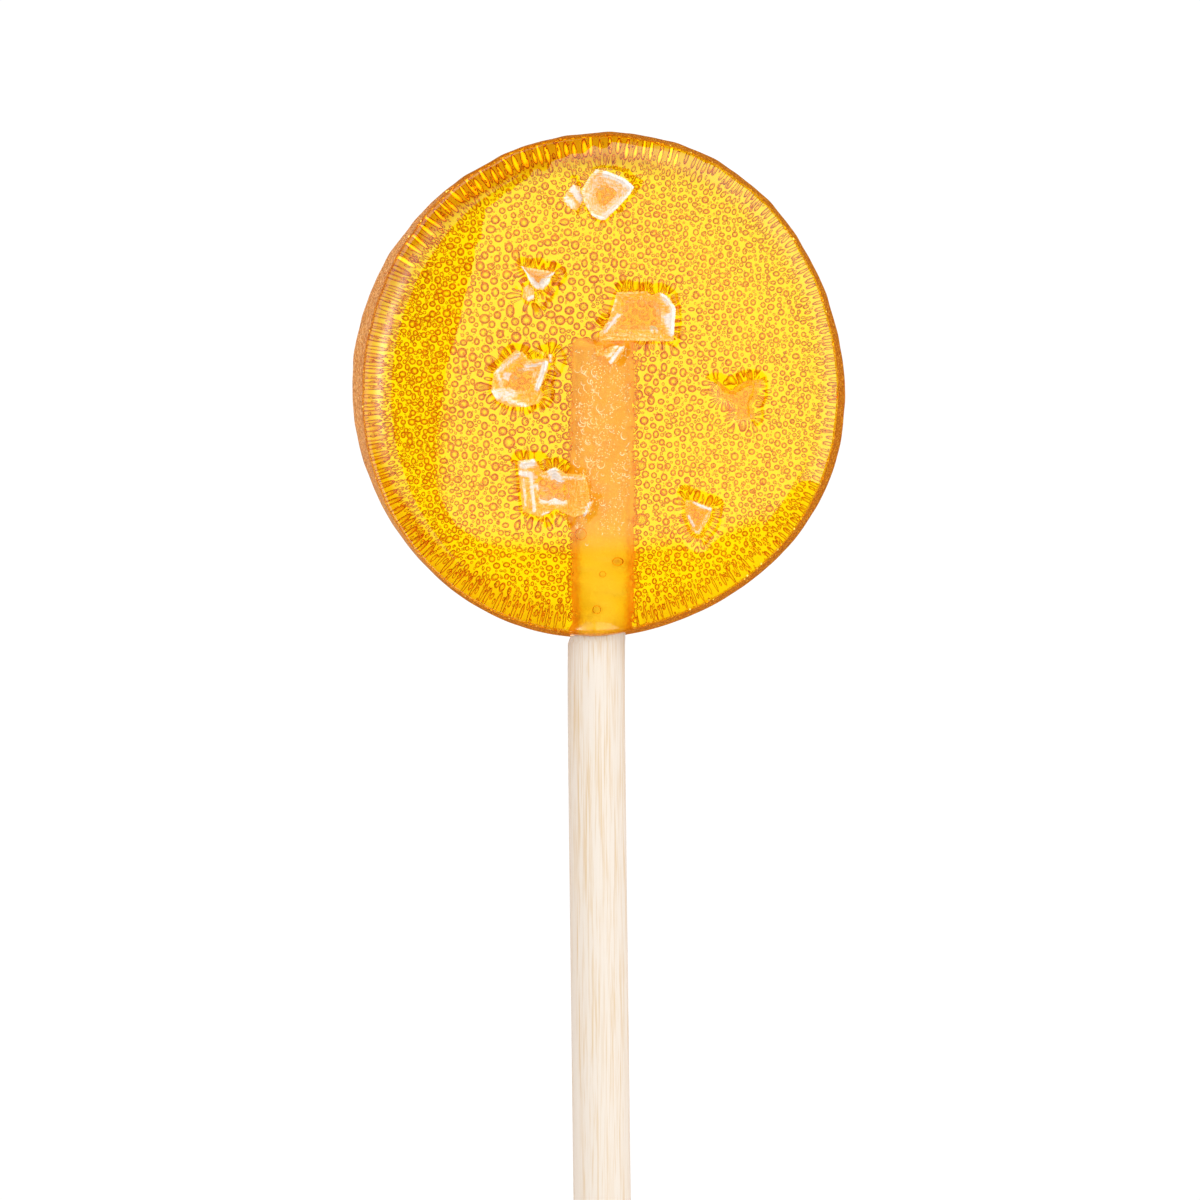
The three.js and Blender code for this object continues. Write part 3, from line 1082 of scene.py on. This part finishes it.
class LOLLIPOP_OT_bubbles(bpy.types.Operator):
    """Fill the candy with bubbles"""

    bl_idname = "lollipop.bubbles"
    bl_label = "Bubbles"

    def execute(self, context):
        settings = context.scene.lollipop_bubbles
        shape = CandyShape(context.scene.lollipop_candy)
        rng = np.random.default_rng(settings.seed)
        air = bubble_material("trapped_air", (1, 1, 1), AIR_BEND)
        rim_air_painted_light = bubble_material("rim_air_painted_light", RIM_AIR_PAINTED_LIGHT, RIM_AIR_BEND)
        # The gold and the glint specks glow: painted glints.
        painted_gold_glints = painted_glow_material(
            "painted_glint_gold", (0.95, 0.72, 0.1), 0.35, (1.0, 0.72, 0.08), 0.5
        )
        painted_glint = painted_glow_material("painted_glint", (1.0, 0.86, 0.8), 0.5, (1.0, 0.8, 0.5), 0.25)
        rows = scatter_bubbles(rng, shape, settings.coarse / MM, settings.fine / MM)
        x, y, _, size, long, _ = rows.T
        away = np.hypot(x, y)
        outer = away > RIM_START
        # Rim bubbles at the top and left get the brightened air, painted light.
        bright = outer & (long > 1.05) & (x < 0.4 * away)
        bright &= rng.uniform(0, 1, len(away)) < smooth_step(y / away, 0.45, 0.75)
        big = (size >= BIG_BUBBLE) & ~outer
        burst = burst_bubbles(rng, shape)
        specks = scatter_specks(rng, settings.specks)
        behind_wall = edge_bubbles(rng, shape, settings.behind_wall, 0.08, 0.2)
        for name, places, level, flatness, finish in (
            ("bubbles_coarse", rows[big], 2, 1.0, air),
            ("bubbles_fine", rows[~big & ~outer], 2, 1.0, air),
            ("bubbles_rim_right", rows[outer & ~bright], 2, 1.0, air),
            ("bubbles_rim", rows[bright], 2, 1.0, rim_air_painted_light),
            ("bubbles_burst", burst, 2, 1.0, air),
            ("bubbles_specks", specks, 1, 1.0, air),
            ("bubbles_edge", behind_wall, 1, 1.0, rim_air_painted_light),
            ("bubbles_stick", stick_bubbles(rng), 2, 0.62, air),
            ("bubbles_bright", painted_glint_bubbles(rng, shape, settings.bright), 1, 1.0, painted_gold_glints),
        ):
            place(join_spheres(name, places, level, rng, flatness), finish, "candy")
        place(add_glints(rng, shape, settings.glints), painted_glint, "candy")
        place(add_glowing_flecks(rng, shape, settings.flecks), painted_glint, "candy")
        return {"FINISHED"}


def scatter_bubbles(rng, shape, coarse, fine):
    """A close layer of bubbles just above the back: place, radius, length and direction."""
    found = rim_rows(rng, shape)
    reach = 1.9 * found[:, 3]
    places = rng.uniform(-RADIUS, RADIUS, (TRIES, 2))
    turn = np.arctan2(places[:, 1], places[:, 0])
    limit = shape.inside_crease(turn, 2.5)
    for step in range(TRIES):
        x, y = places[step]
        away = math.hypot(x, y)
        # They are coarse at the left and in the middle, and the gaps fill with small ones.
        share = smooth_step(1.05 - math.hypot(x + 6, y - 2) / 25, 0, 1)
        size = fine + (coarse - fine) * share
        rim = smooth_step(away, limit[step] - 1.4, limit[step])
        size *= 1 - 0.45 * rim
        filler = step >= FILLERS_FROM * TRIES
        size *= rng.normal(1, 0.14) * (rng.uniform(0.4, 0.85) if filler else 1)
        size = max(size, LEAST_BUBBLE)
        # They crowd together towards the left edge.
        crowd = smooth_step(-x, 10.0, 18.0)
        size *= 1 - 0.12 * crowd
        gap = size * (1.04 - 0.02 * rim - 0.16 * crowd)
        if away > limit[step]:
            continue
        if abs(x - SOAKED_CENTRE) < SOAKED_RADIUS and y < BURIED_END + 0.2:
            continue
        apart = np.hypot(found[:, 0] - x, found[:, 1] - y)
        if (apart < (reach + gap) / 2).any():
            continue
        z = size / 2 + 0.12 + abs(rng.normal(0, 0.35))
        found = np.vstack((found, (x, y, z, size / 2, 1, 0)))
        reach = np.append(reach, gap)
    return found


def rim_rows(rng, shape):
    """Rows of bubbles side by side under the rim, which draws them out to the eye."""
    rows = []
    for part, inset, spacing, size, drawn_out in RIM_ROWS:
        count = round(2 * math.pi * RIM_ROW_RADIUS / spacing)
        angle = np.linspace(0, 2 * math.pi, count, endpoint=False)
        angle = angle + rng.normal(0, 0.12 * spacing / RIM_ROW_RADIUS, count)
        low_right = shape.flatter(angle)
        radius = shape.inside_crease(angle, 2.3) - inset + rng.normal(0, 0.04, count)
        balls = size * (1 - 0.25 * low_right) * rng.uniform(0.8, 1.1, count)
        z = balls + 0.15 + np.abs(rng.normal(0, 0.1, count))
        long = drawn_out * rng.uniform(0.9, 1.15, count)
        foot = np.sin(angle) < -0.72
        flat = low_right >= 0.5
        here = {"foot": foot, "steep": ~foot & ~flat, "flat": ~foot & flat}[part]
        ring = np.column_stack((ring_points(radius, angle, z), balls, long, angle))
        rows.append(ring[here])
    rows = np.vstack(rows)
    return rows[off_stick(rows, SOAKED_RADIUS, 0)]


def burst_bubbles(rng, shape):
    """Thin bubbles that point away from each salt flake."""
    rows = []
    for chip in FLAKES.values():
        outline = spaced_outline(np.array(chip["corners"]), 0.5)
        along = np.roll(outline, -1, axis=0) - outline
        direction = np.arctan2(-along[:, 0], along[:, 1])
        offset = outline - outline.mean(axis=0)
        outward = np.cos(direction) * offset[:, 0] + np.sin(direction) * offset[:, 1]
        direction = np.where(outward < 0, direction + math.pi, direction)
        count = len(outline)
        direction = direction + rng.normal(0, 0.25, count)
        size = rng.uniform(0.09, 0.17, count)
        long = rng.uniform(2.2, 4.2, count)
        reach = size * long + rng.uniform(0.0, 0.35, count)
        x = chip["at"][0] + outline[:, 0] + reach * np.cos(direction)
        y = chip["at"][1] + outline[:, 1] + reach * np.sin(direction)
        z = shape.face(np.hypot(x, y)) - rng.uniform(0.9, 1.5, count)
        rows.append(np.column_stack((x, y, z, size, long, direction)))
    rows = np.vstack(rows)
    clear = off_stick(rows, SOAKED_RADIUS + 0.3, BURIED_END)
    return rows[clear & (rng.uniform(0, 1, len(rows)) < 0.72)]


def scatter_specks(rng, count):
    """The finest bubbles, near the back."""
    angle = rng.uniform(0, 2 * math.pi, count)
    radius = 25.0 * np.sqrt(rng.uniform(0, 1, count))
    size = rng.uniform(0.06, 0.16, count)
    z = 0.2 + rng.uniform(0, 1.6, count)
    rows = np.column_stack((ring_points(radius, angle, z), size))
    return rows[off_stick(rows, SOAKED_RADIUS, BURIED_END)]


def edge_bubbles(rng, shape, count, low, high):
    """Small bubbles behind the wall, but not at the left."""
    angle = rng.uniform(-0.65 * math.pi, 0.85 * math.pi, count)
    size = rng.uniform(low, high, count)
    z = rng.uniform(0.7, shape.wall - 0.3, count)
    radius = shape.radius - TURNED_DRAFT * z / shape.wall - size - 0.1
    rows = np.column_stack((shape.pour(ring_points(radius, angle, z)), size))
    return rows[off_stick(rows, 4.2, 0, centre=0)]


def painted_glint_bubbles(rng, shape, count):
    """Glowing gold specks in the crease of the rim and behind the wall, painted glints for
    bubbles that catch the light.
    """
    ring = 330
    angle = np.linspace(0, 2 * math.pi, ring, endpoint=False) + rng.normal(0, 0.008, ring)
    radius = shape.shoulder - 0.1 + rng.normal(0, 0.07, ring)
    height = shape.face(radius) - rng.uniform(0.17, 0.32, ring)
    size = rng.uniform(0.04, 0.09, ring) * rng.choice((0.8, 1.7), ring, p=(0.6, 0.4))
    rows = np.column_stack((shape.pour(ring_points(radius, angle, height)), size))
    rows = rows[off_stick(rows, 3.4, 0, centre=0)]
    return np.vstack((rows, edge_bubbles(rng, shape, count, 0.04, 0.12)))


def stick_bubbles(rng):
    """Bubbles beside and over the buried stick."""
    rows = []
    for count, side, top, foot in STICK_ROWS:
        y = np.linspace(top, foot, count) + rng.normal(0, 0.2, count)
        x = side + math.copysign(1, side) * rng.normal(0.02, 0.17, count)
        z, size = rng.uniform(4.6, 6.6, count), rng.uniform(0.2, 0.46, count)
        rows.append(np.column_stack((x, y, z, size)))
    return np.vstack((*rows, np.array(STICK_RINGS)))


def add_glints(rng, shape, count):
    """Thin white arcs that glow, painted highlights for the light caught by small bubbles
    that cling to the stick.
    """
    x = rng.uniform(-2.2, 3.0, count)
    x = np.where(rng.uniform(0, 1, count) < 0.7, rng.uniform(-2.2, 0.3, count), x)
    y = rng.uniform(-10.4, 1.6, count)
    x, y = np.append(x, (-2.1, -1.2, 0.4)), np.append(y, (-14.7, -16.4, -12.2))
    steps, sides, thickest = 9, 5, 0.042
    points, faces = [], []
    around = np.linspace(0, 2 * math.pi, sides, endpoint=False)
    thick = thickest * np.sin(np.linspace(0.25, math.pi - 0.25, steps))[:, None]
    for cx, cy in zip(x, y):
        radius = rng.choice((0.16, 0.24, 0.32, 0.4), p=(0.2, 0.3, 0.3, 0.2))
        start = math.radians(rng.normal(140, 30))
        sweep = math.radians(rng.uniform(120, 240))
        angles = (start + np.linspace(0, sweep, steps))[:, None]
        height = float(shape.face(math.hypot(cx, cy))) - rng.uniform(0.12, 0.25)
        first = len(points) * sides * steps
        r = radius + thick * np.cos(around)
        x_arc, y_arc = cx + r * np.cos(angles), cy + r * np.sin(angles)
        z_arc = height + thick * np.sin(around)
        points.append(np.stack((x_arc, y_arc, z_arc), axis=-1).reshape(-1, 3))
        for i in range(steps - 1):
            for j in range(sides):
                a, b = first + i * sides + j, first + i * sides + (j + 1) % sides
                faces.append((a, b, b + sides, a + sides))
        for ring in (range(sides - 1, -1, -1), range((steps - 1) * sides, steps * sides)):
            faces.append([first + k for k in ring])
    mesh = bpy.data.meshes.new("bubble_glints")
    mesh.from_pydata(np.vstack(points) * MM, [], faces)
    return add_piece("bubble_glints", mesh)


def add_glowing_flecks(rng, shape, count):
    """Very small spheres over the buried stick that glow pale, painted highlights for a
    froth of small bubbles.
    """
    y = rng.uniform(-15.5, 3.6, count)
    x = rng.uniform(-2.4, 3.2, count)
    clump = np.sin(1.1 * x + 0.9 * y) + np.sin(2.3 * x - 1.7 * y + 1)
    clump += np.sin(0.6 * y - 2 * x)
    z = shape.face(np.hypot(x, y)) - rng.uniform(0.12, 0.5, count)
    rows = np.column_stack((x, y, z, rng.uniform(0.03, 0.075, count)))
    return join_spheres("bubble_flecks", rows[clump > -0.9], 1, rng, 0.6)


def join_spheres(name, rows, level, rng, flatness):
    """One mesh of round bubbles, each a little uneven."""
    ball = start_piece(
        "ball", bpy.ops.mesh.primitive_ico_sphere_add, subdivisions=level, radius=1
    )
    points = points_of(ball.data)
    faces = np.array([tuple(p.vertices) for p in ball.data.polygons])
    bpy.data.objects.remove(ball)
    count = len(rows)
    stretch = rng.normal(1, 0.1, (count, 1, 3)) * (1, 1, flatness)
    balls = points[None] * stretch * rows[:, None, 3:4]
    # Some are drawn out in one direction.
    if rows.shape[1] == 6:
        outward = np.stack((np.cos(rows[:, 5]), np.sin(rows[:, 5])), axis=1)[:, None]
        along = (balls[..., :2] * outward).sum(axis=2, keepdims=True) * outward
        balls[..., :2] += along * (rows[:, None, 4:5] - 1)
    all_points = balls + rows[:, None, :3]
    steps = np.arange(count)[:, None, None] * len(points)
    all_faces = (faces[None] + steps).reshape(-1, 3)
    mesh = bpy.data.meshes.new(name)
    mesh.vertices.add(count * len(points))
    mesh.loops.add(all_faces.size)
    mesh.polygons.add(len(all_faces))
    mesh.vertices.foreach_set("co", (all_points * MM).astype(np.float32).ravel())
    mesh.loops.foreach_set("vertex_index", all_faces.astype(np.int32).ravel())
    mesh.polygons.foreach_set(
        "loop_start", np.arange(0, all_faces.size, 3, dtype=np.int32)
    )
    mesh.polygons.foreach_set("use_smooth", np.ones(len(all_faces), bool))
    mesh.update(calc_edges=True)
    mesh.validate()
    return add_piece(name, mesh)


# ---- Stick -------------------------------------------------------------------------------


class LOLLIPOP_OT_stick(bpy.types.Operator):
    """Turn the wooden stick"""

    bl_idname = "lollipop.stick"
    bl_label = "Stick"

    def execute(self, context):
        settings = context.scene.lollipop_stick
        low, high = STICK_LOW.y / MM, STICK_HIGH.y / MM
        radius = settings.radius / MM
        rows = [(0.0, high), (radius - 0.3, high), (radius - 0.08, high - 0.08)]
        rows += [(radius, z) for z in np.linspace(high - 0.3, low + 0.3, 60)]
        rows += [(radius - 0.08, low + 0.08), (radius - 0.3, low), (0.0, low)]
        stick = turn_profile("stick_wood", rows, settings.sides)

        def lay_down(points):
            x, y, z = points.T
            thin = 1 - 0.15 * smooth_step(z, -25.6, -24.6)
            return np.column_stack((x * thin + buried_centre(z), z, STICK_AXIS - y * thin))

        shape_with(stick, lay_down)
        place(stick, wood_material(settings), "stick_wood", "stick")
        return {"FINISHED"}


class LOLLIPOP_OT_sleeve(bpy.types.Operator):
    """Soak the buried end of the stick"""

    bl_idname = "lollipop.sleeve"
    bl_label = "Soaked end"

    def execute(self, context):
        radius = SOAKED_RADIUS
        top, foot = BURIED_END + 0.25, SOAKED_FOOT
        rows = [(0.0, top), (radius - 0.5, top), (radius - 0.15, top - 0.12)]
        rows += [(radius, z) for z in np.linspace(top - 0.45, foot + 0.5, 60)]
        rows += [(radius - 0.3, foot + 0.1), (0.0, foot)]
        sleeve = turn_profile("stick_soaked", rows, 72)

        def lay_down(points):
            x, y, z = points.T
            angle = np.arctan2(y, x)
            bumps = 0.1 * np.sin(1.9 * z + 2 * angle) * np.sin(0.7 * z + 3 * angle)
            bumps += 0.08 * np.sin(4.1 * z + angle * 4) + 0.09 * np.sin(7.3 * z - angle)
            bumps += 0.07 * np.sin(12.1 * z + 2 * angle + 3 * np.sin(0.9 * z))
            wide = 1 + bumps * smooth_step(z, -25.0, -23.0) / radius
            ends = 0.3 * np.sin(2.6 * x + 1) * smooth_step(z, 2.0, 4.2)
            # The candy that has soaked in rounds the shape out, except near the edge.
            turn = np.clip(np.abs(y) / radius, 1e-6, 1)
            low = smooth_step(-z, 20.5, 24.0)
            full = np.sign(y) * np.minimum(radius, np.hypot(x, y))
            full = full * turn ** (0.3 + 0.7 * low)
            wide = wide * (1 - 0.06 * low)
            return np.column_stack(
                (x * wide + buried_centre(z), z + ends, STICK_AXIS - full * wide)
            )

        shape_with(sleeve, lay_down)
        place(sleeve, soaked_material(), "stick_wood")
        return {"FINISHED"}


# ---- Salt --------------------------------------------------------------------------------

FLAKE_SEED, CRUMB_SEED = 40, 3
CRUMB_HEIGHT, CRUMB_SINK = 0.95, 0.55

# How close the points of an outline are, how wide the foot is when hollow and when solid,
# the width of a hollow flake's rim, the share of each ring that closes it, and how many bits
# are broken off.
SALT_SPACING, HOLLOW_FOOT, SOLID_FOOT = 0.12, 0.4, 0.7
SALT_RIM, CLOSING_RINGS, BROKEN_BITS = 0.36, (0.75, 0.67, 0.5, 0.4), 6


def frost_at(points, chip):
    """How white the salt is at each point, from its frosted strokes."""
    white = np.full(len(points), float(chip["film"]))
    for x0, y0, x1, y1, half, level in chip["frost"]:
        away = stroke_distance(points[:, 0], points[:, 1], x0, y0, x1, y1)
        white = np.maximum(white, level * (1 - smooth_step(away, half * 0.4, half * 1.4)))
    return white


def spaced_outline(corners, spacing):
    """Points along a closed outline, with every corner kept."""
    rows = []
    for start, end in zip(corners, np.roll(corners, -1, axis=0)):
        count = max(2, round(float(np.hypot(*(end - start))) / spacing))
        rows += [start + (end - start) * i / count for i in range(count)]
    return np.array(rows)


def grow_salt(name, chip, base, height, steps, hollow, rng):
    """A crystal grown step by step from its foot, hollow or solid, then broken a little."""
    corners = np.array(chip["corners"])
    outline = spaced_outline(corners, SALT_SPACING)
    heart = corners.mean(axis=0)
    half = np.abs(outline - heart).max(axis=0).mean()
    half_step = height / steps * 0.5
    widths = np.linspace(HOLLOW_FOOT if hollow else SOLID_FOOT, 1, steps)
    scale = widths[0]
    circle = bpy.ops.mesh.primitive_circle_add
    piece = start_piece(name, circle, vertices=len(outline), radius=MM, fill_type="NGON")
    ring = np.column_stack((heart + (outline - heart) * scale, np.zeros(len(outline))))
    move_points(piece.data, ring * MM)
    bpy.ops.object.mode_set(mode="EDIT")
    bpy.ops.mesh.select_all(action="SELECT")

    def grow(new_scale, climb=0):
        nonlocal scale
        extrude(0, 0, climb * MM)
        share = new_scale / scale
        if share != 1:
            bpy.ops.transform.resize(
                value=(share, share, 1),
                center_override=(heart[0] * MM, heart[1] * MM, 0),
            )
        scale = new_scale

    for width in widths:
        if width != scale:
            grow(width)
        grow(width, half_step)
        grow(width, half_step)
    if hollow:
        rim = SALT_RIM / half
        grow(1 - rim * 0.5)
        grow(1 - rim)
        for width in widths[-2::-1]:
            grow(scale, -half_step)
            grow(scale, -half_step)
            grow((scale + width - rim) / 2)
            grow(width - rim)
    for share in CLOSING_RINGS:
        grow(scale * share)
    bpy.ops.mesh.select_all(action="SELECT")
    bpy.ops.mesh.normals_make_consistent(inside=False)
    bpy.ops.object.mode_set(mode="OBJECT")
    local = in_mm(points_of(piece.data))
    x, y, z = local.T
    top = smooth_step(z, height * 0.45, height * 0.95)
    white = frost_at(local, chip)
    chips = np.zeros(len(local))
    for _ in range(BROKEN_BITS):
        spot = outline[rng.integers(len(outline))]
        size = rng.uniform(0.12, 0.3) * half
        away = np.hypot(x - spot[0], y - spot[1])
        depth = rng.uniform(0.2, 0.75)
        chips = np.maximum(chips, (1 - smooth_step(away, 0.3 * size, size)) * depth)
    crinkle = np.sin(3.1 * x + 1.7 * y) * np.cos(2.3 * y - x) + 0.6 * np.sin(7 * x - 5 * y)
    lift = top * (0.16 * white - 0.12 * (1 - white) + 0.06 * crinkle)
    lift -= 0.6 * chips * top * (1 - 0.8 * white)
    points = local + rng.normal(0, 0.015, local.shape)
    points[:, 2] += lift + base
    points[:, :2] += chip["at"]
    move_points(piece.data, points * MM)
    store(piece, "frost", white * smooth_step(z, -0.1, height * 0.5))
    deselect_all()
    piece.select_set(True)
    bpy.context.view_layer.objects.active = piece
    bpy.ops.object.shade_smooth_by_angle(angle=math.radians(28))
    return piece


class LOLLIPOP_OT_salt(bpy.types.Operator):
    """Grow the salt flakes"""

    bl_idname = "lollipop.salt"
    bl_label = "Salt flakes"

    def execute(self, context):
        salt = salt_material(context.scene.lollipop_salt)
        for number, (name, flake) in enumerate(FLAKES.items()):
            low, high = (in_mm(corner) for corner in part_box(name))
            base, height = low[2] - flake["sink"], high[2] - low[2]
            rng = np.random.default_rng(FLAKE_SEED + number)
            new_name = name.replace("flake", "salt")
            piece = grow_salt(new_name, flake, base, height, 5, True, rng)
            place(piece, salt, "salt", name)
        shape = CandyShape(context.scene.lollipop_candy)
        rng = np.random.default_rng(CRUMB_SEED)
        parts = []
        for name, chip in CRUMBS.items():
            base = float(shape.face(np.hypot(*chip["at"]))) - CRUMB_SINK
            parts.append(grow_salt(name, chip, base, CRUMB_HEIGHT, 2, False, rng))
        deselect_all()
        for piece in parts:
            piece.select_set(True)
        bpy.context.view_layer.objects.active = parts[0]
        bpy.ops.object.join()
        crumbs = bpy.context.object
        crumbs.name = crumbs.data.name = "salt_crumbs"
        place(crumbs, salt, "salt")
        return {"FINISHED"}


# ---- Stage -------------------------------------------------------------------------------

# The soft panel overhead, in metres: its height, the share of it that the panel runs down
# at the back, its brightness, where 1 is white, and its corners from the rounded near left
# one round to the right.
PANEL_HEIGHT, PANEL_DROP, PANEL_RADIANCE = 1.0, 0.63, 1.35
PANEL_CORNERS = (
    (-0.074, -0.007), (-0.071, -0.02), (-0.064, -0.032), (-0.052, -0.039), (-0.039, -0.042),
    (0.12, -0.042), (1.3, -0.53), (1.3, 2.6), (0.0, 2.6), (-0.13, 0.55), (-0.047, 0.115),
    (-0.071, 0.035),
)

# The panel at the left: place, size, brightness, what its middle adds, and how far that
# spreads.
LEFT_PANEL_AT, LEFT_PANEL_SIZE = (-0.66, 0.13, 0.55), (0.95, 1.36)
LEFT_PANEL_RADIANCE, LEFT_PANEL_MIDDLE, LEFT_PANEL_SPREAD = 1.0, 5.6, 0.15

# The lamp that fills the shadows: height, width and brightness.
FILL_HEIGHT, FILL_WIDTH, FILL_RADIANCE = 1.6, 1.6, 1.15

# The place that the camera is above, and how far the face is from the floor.
VIEW_CENTRE, FACE_HEIGHT = (0.13 * MM, -22.13 * MM), 4 * MM

# How often light turns on its way through the bubbles.
BOUNCES = 32


def floor_piece():
    floor = start_piece(
        "floor", bpy.ops.mesh.primitive_plane_add, size=6, location=(0, 0, -0.08 * MM)
    )
    floor.data.materials.append(floor_material())
    return floor


def unseen(panel, glow):
    """A panel that glows and that the camera doesn't see."""
    panel.data.materials.append(glow)
    panel.visible_camera = False
    return panel


def over_panel():
    """A big soft panel overhead that runs down at the back and at the right."""
    count = len(PANEL_CORNERS)
    circle = bpy.ops.mesh.primitive_circle_add
    panel = start_piece("panel_over", circle, vertices=count, fill_type="NGON")
    corners = np.array(PANEL_CORNERS)
    move_points(panel.data, np.column_stack((corners, np.full(count, PANEL_HEIGHT))))
    bpy.ops.object.mode_set(mode="EDIT")
    bpy.ops.mesh.select_mode(type="EDGE")
    bpy.ops.mesh.select_all(action="DESELECT")
    bpy.ops.object.mode_set(mode="OBJECT")
    most = corners.max(axis=0) - 0.01
    points = points_of(panel.data)
    for edge in panel.data.edges:
        edge.select = bool((points[list(edge.vertices), :2] > most).all(axis=0).any())
    bpy.ops.object.mode_set(mode="EDIT")
    extrude(0, 0, -PANEL_DROP * PANEL_HEIGHT)
    bpy.ops.mesh.select_mode(type="VERT")
    bpy.ops.object.mode_set(mode="OBJECT")
    board = new_board("soft_panel")
    x, y, z = board.parts()
    far = ((x * x + y * y) ** 0.5).between(0.15, 1.0)
    # The near and left edges and the corner at the back are soft.
    near_edge = y.between(-0.044, -0.03).most(x.between(0.1, 0.3))
    left_edge = x.between(-0.076, -0.064).most(y.between(0.1, 0.3))
    back_edge = z.between(0.94, 0.99).most(x.between(0.3, 1.1))
    strength = PANEL_RADIANCE * (1 + 0.85 * far) * near_edge * left_edge * back_edge
    return unseen(panel, board.finish(board.light(strength)))


def left_panel():
    """A soft panel that is brighter in the middle."""
    panel = start_piece("panel_left", bpy.ops.mesh.primitive_plane_add, size=1)
    move_points(panel.data, points_of(panel.data) * (*LEFT_PANEL_SIZE, 1))
    panel.location = LEFT_PANEL_AT
    panel.rotation_euler = (-Vector(LEFT_PANEL_AT)).to_track_quat("Z", "Y").to_euler()
    board = new_board("spot_panel")
    x, y, _ = board.parts()
    spot = ((x * x + y * y) * (-0.5 / LEFT_PANEL_SPREAD**2)).math("EXPONENT")
    ends = 1 - abs(x).between(0.28 * LEFT_PANEL_SIZE[0], 0.5 * LEFT_PANEL_SIZE[0])
    strength = spot * LEFT_PANEL_MIDDLE + ends * LEFT_PANEL_RADIANCE
    return unseen(panel, board.finish(board.light(strength)))


def fill_lamp():
    """A square lamp overhead that reflections don't show."""
    lamp = bpy.data.lights.new("fill_over", "AREA")
    lamp.shape, lamp.size = "SQUARE", FILL_WIDTH
    lamp.energy = FILL_RADIANCE * math.pi * (FILL_WIDTH * FILL_WIDTH)
    holder = add_piece("fill_over", lamp)
    holder.location = (0, 0, FILL_HEIGHT)
    holder.visible_glossy = False


def camera_above(settings):
    """The camera, straight above, which sees a given width at the height of the face."""
    eye = bpy.data.cameras.new("camera")
    height = settings.camera_height
    eye.sensor_width = 36
    eye.lens = eye.sensor_width * (height - FACE_HEIGHT) / settings.view_width
    eye.clip_start, eye.clip_end = 0.01, 20
    camera = add_piece("camera", eye)
    camera.location = (*VIEW_CENTRE, height)
    return camera


class LOLLIPOP_OT_stage(bpy.types.Operator):
    """Set the floor, the lamps and the camera"""

    bl_idname = "lollipop.stage"
    bl_label = "Stage"

    def execute(self, context):
        scene = context.scene
        floor_piece()
        scene.world = studio_air()
        over_panel()
        left_panel()
        fill_lamp()
        scene.camera = camera_above(scene.lollipop_stage)
        scene.view_settings.view_transform = "Standard"
        scene.cycles.max_bounces = scene.cycles.transmission_bounces = BOUNCES
        return {"FINISHED"}


# ---- Add-on ------------------------------------------------------------------------------


class LOLLIPOP_PT_panel(bpy.types.Panel):
    """Lists the pieces of the lollipop"""

    bl_idname = "LOLLIPOP_PT_panel"
    bl_label = "Honey lollipop"
    bl_space_type = "VIEW_3D"
    bl_region_type = "UI"
    bl_category = "Lollipop"

    def draw(self, context):
        for name in STEPS:
            self.layout.operator("lollipop." + name)


STEPS = ("stage", "candy", "bubbles", "stick", "sleeve", "salt")

SETTINGS = {
    "lollipop_candy": CandySettings,
    "lollipop_stick": StickSettings,
    "lollipop_bubbles": BubbleSettings,
    "lollipop_salt": SaltSettings,
    "lollipop_stage": StageSettings,
}

CLASSES = (
    *SETTINGS.values(),
    LOLLIPOP_OT_stage,
    LOLLIPOP_OT_candy,
    LOLLIPOP_OT_bubbles,
    LOLLIPOP_OT_stick,
    LOLLIPOP_OT_sleeve,
    LOLLIPOP_OT_salt,
    LOLLIPOP_PT_panel,
)


def register():
    for part in CLASSES:
        bpy.utils.register_class(part)
    for name, group in SETTINGS.items():
        setattr(bpy.types.Scene, name, PointerProperty(type=group))


def unregister():
    for name in SETTINGS:
        delattr(bpy.types.Scene, name)
    for part in reversed(CLASSES):
        bpy.utils.unregister_class(part)


def main():
    register()
    for name in STEPS:
        getattr(bpy.ops.lollipop, name)()


if __name__ == "__main__":
    main()
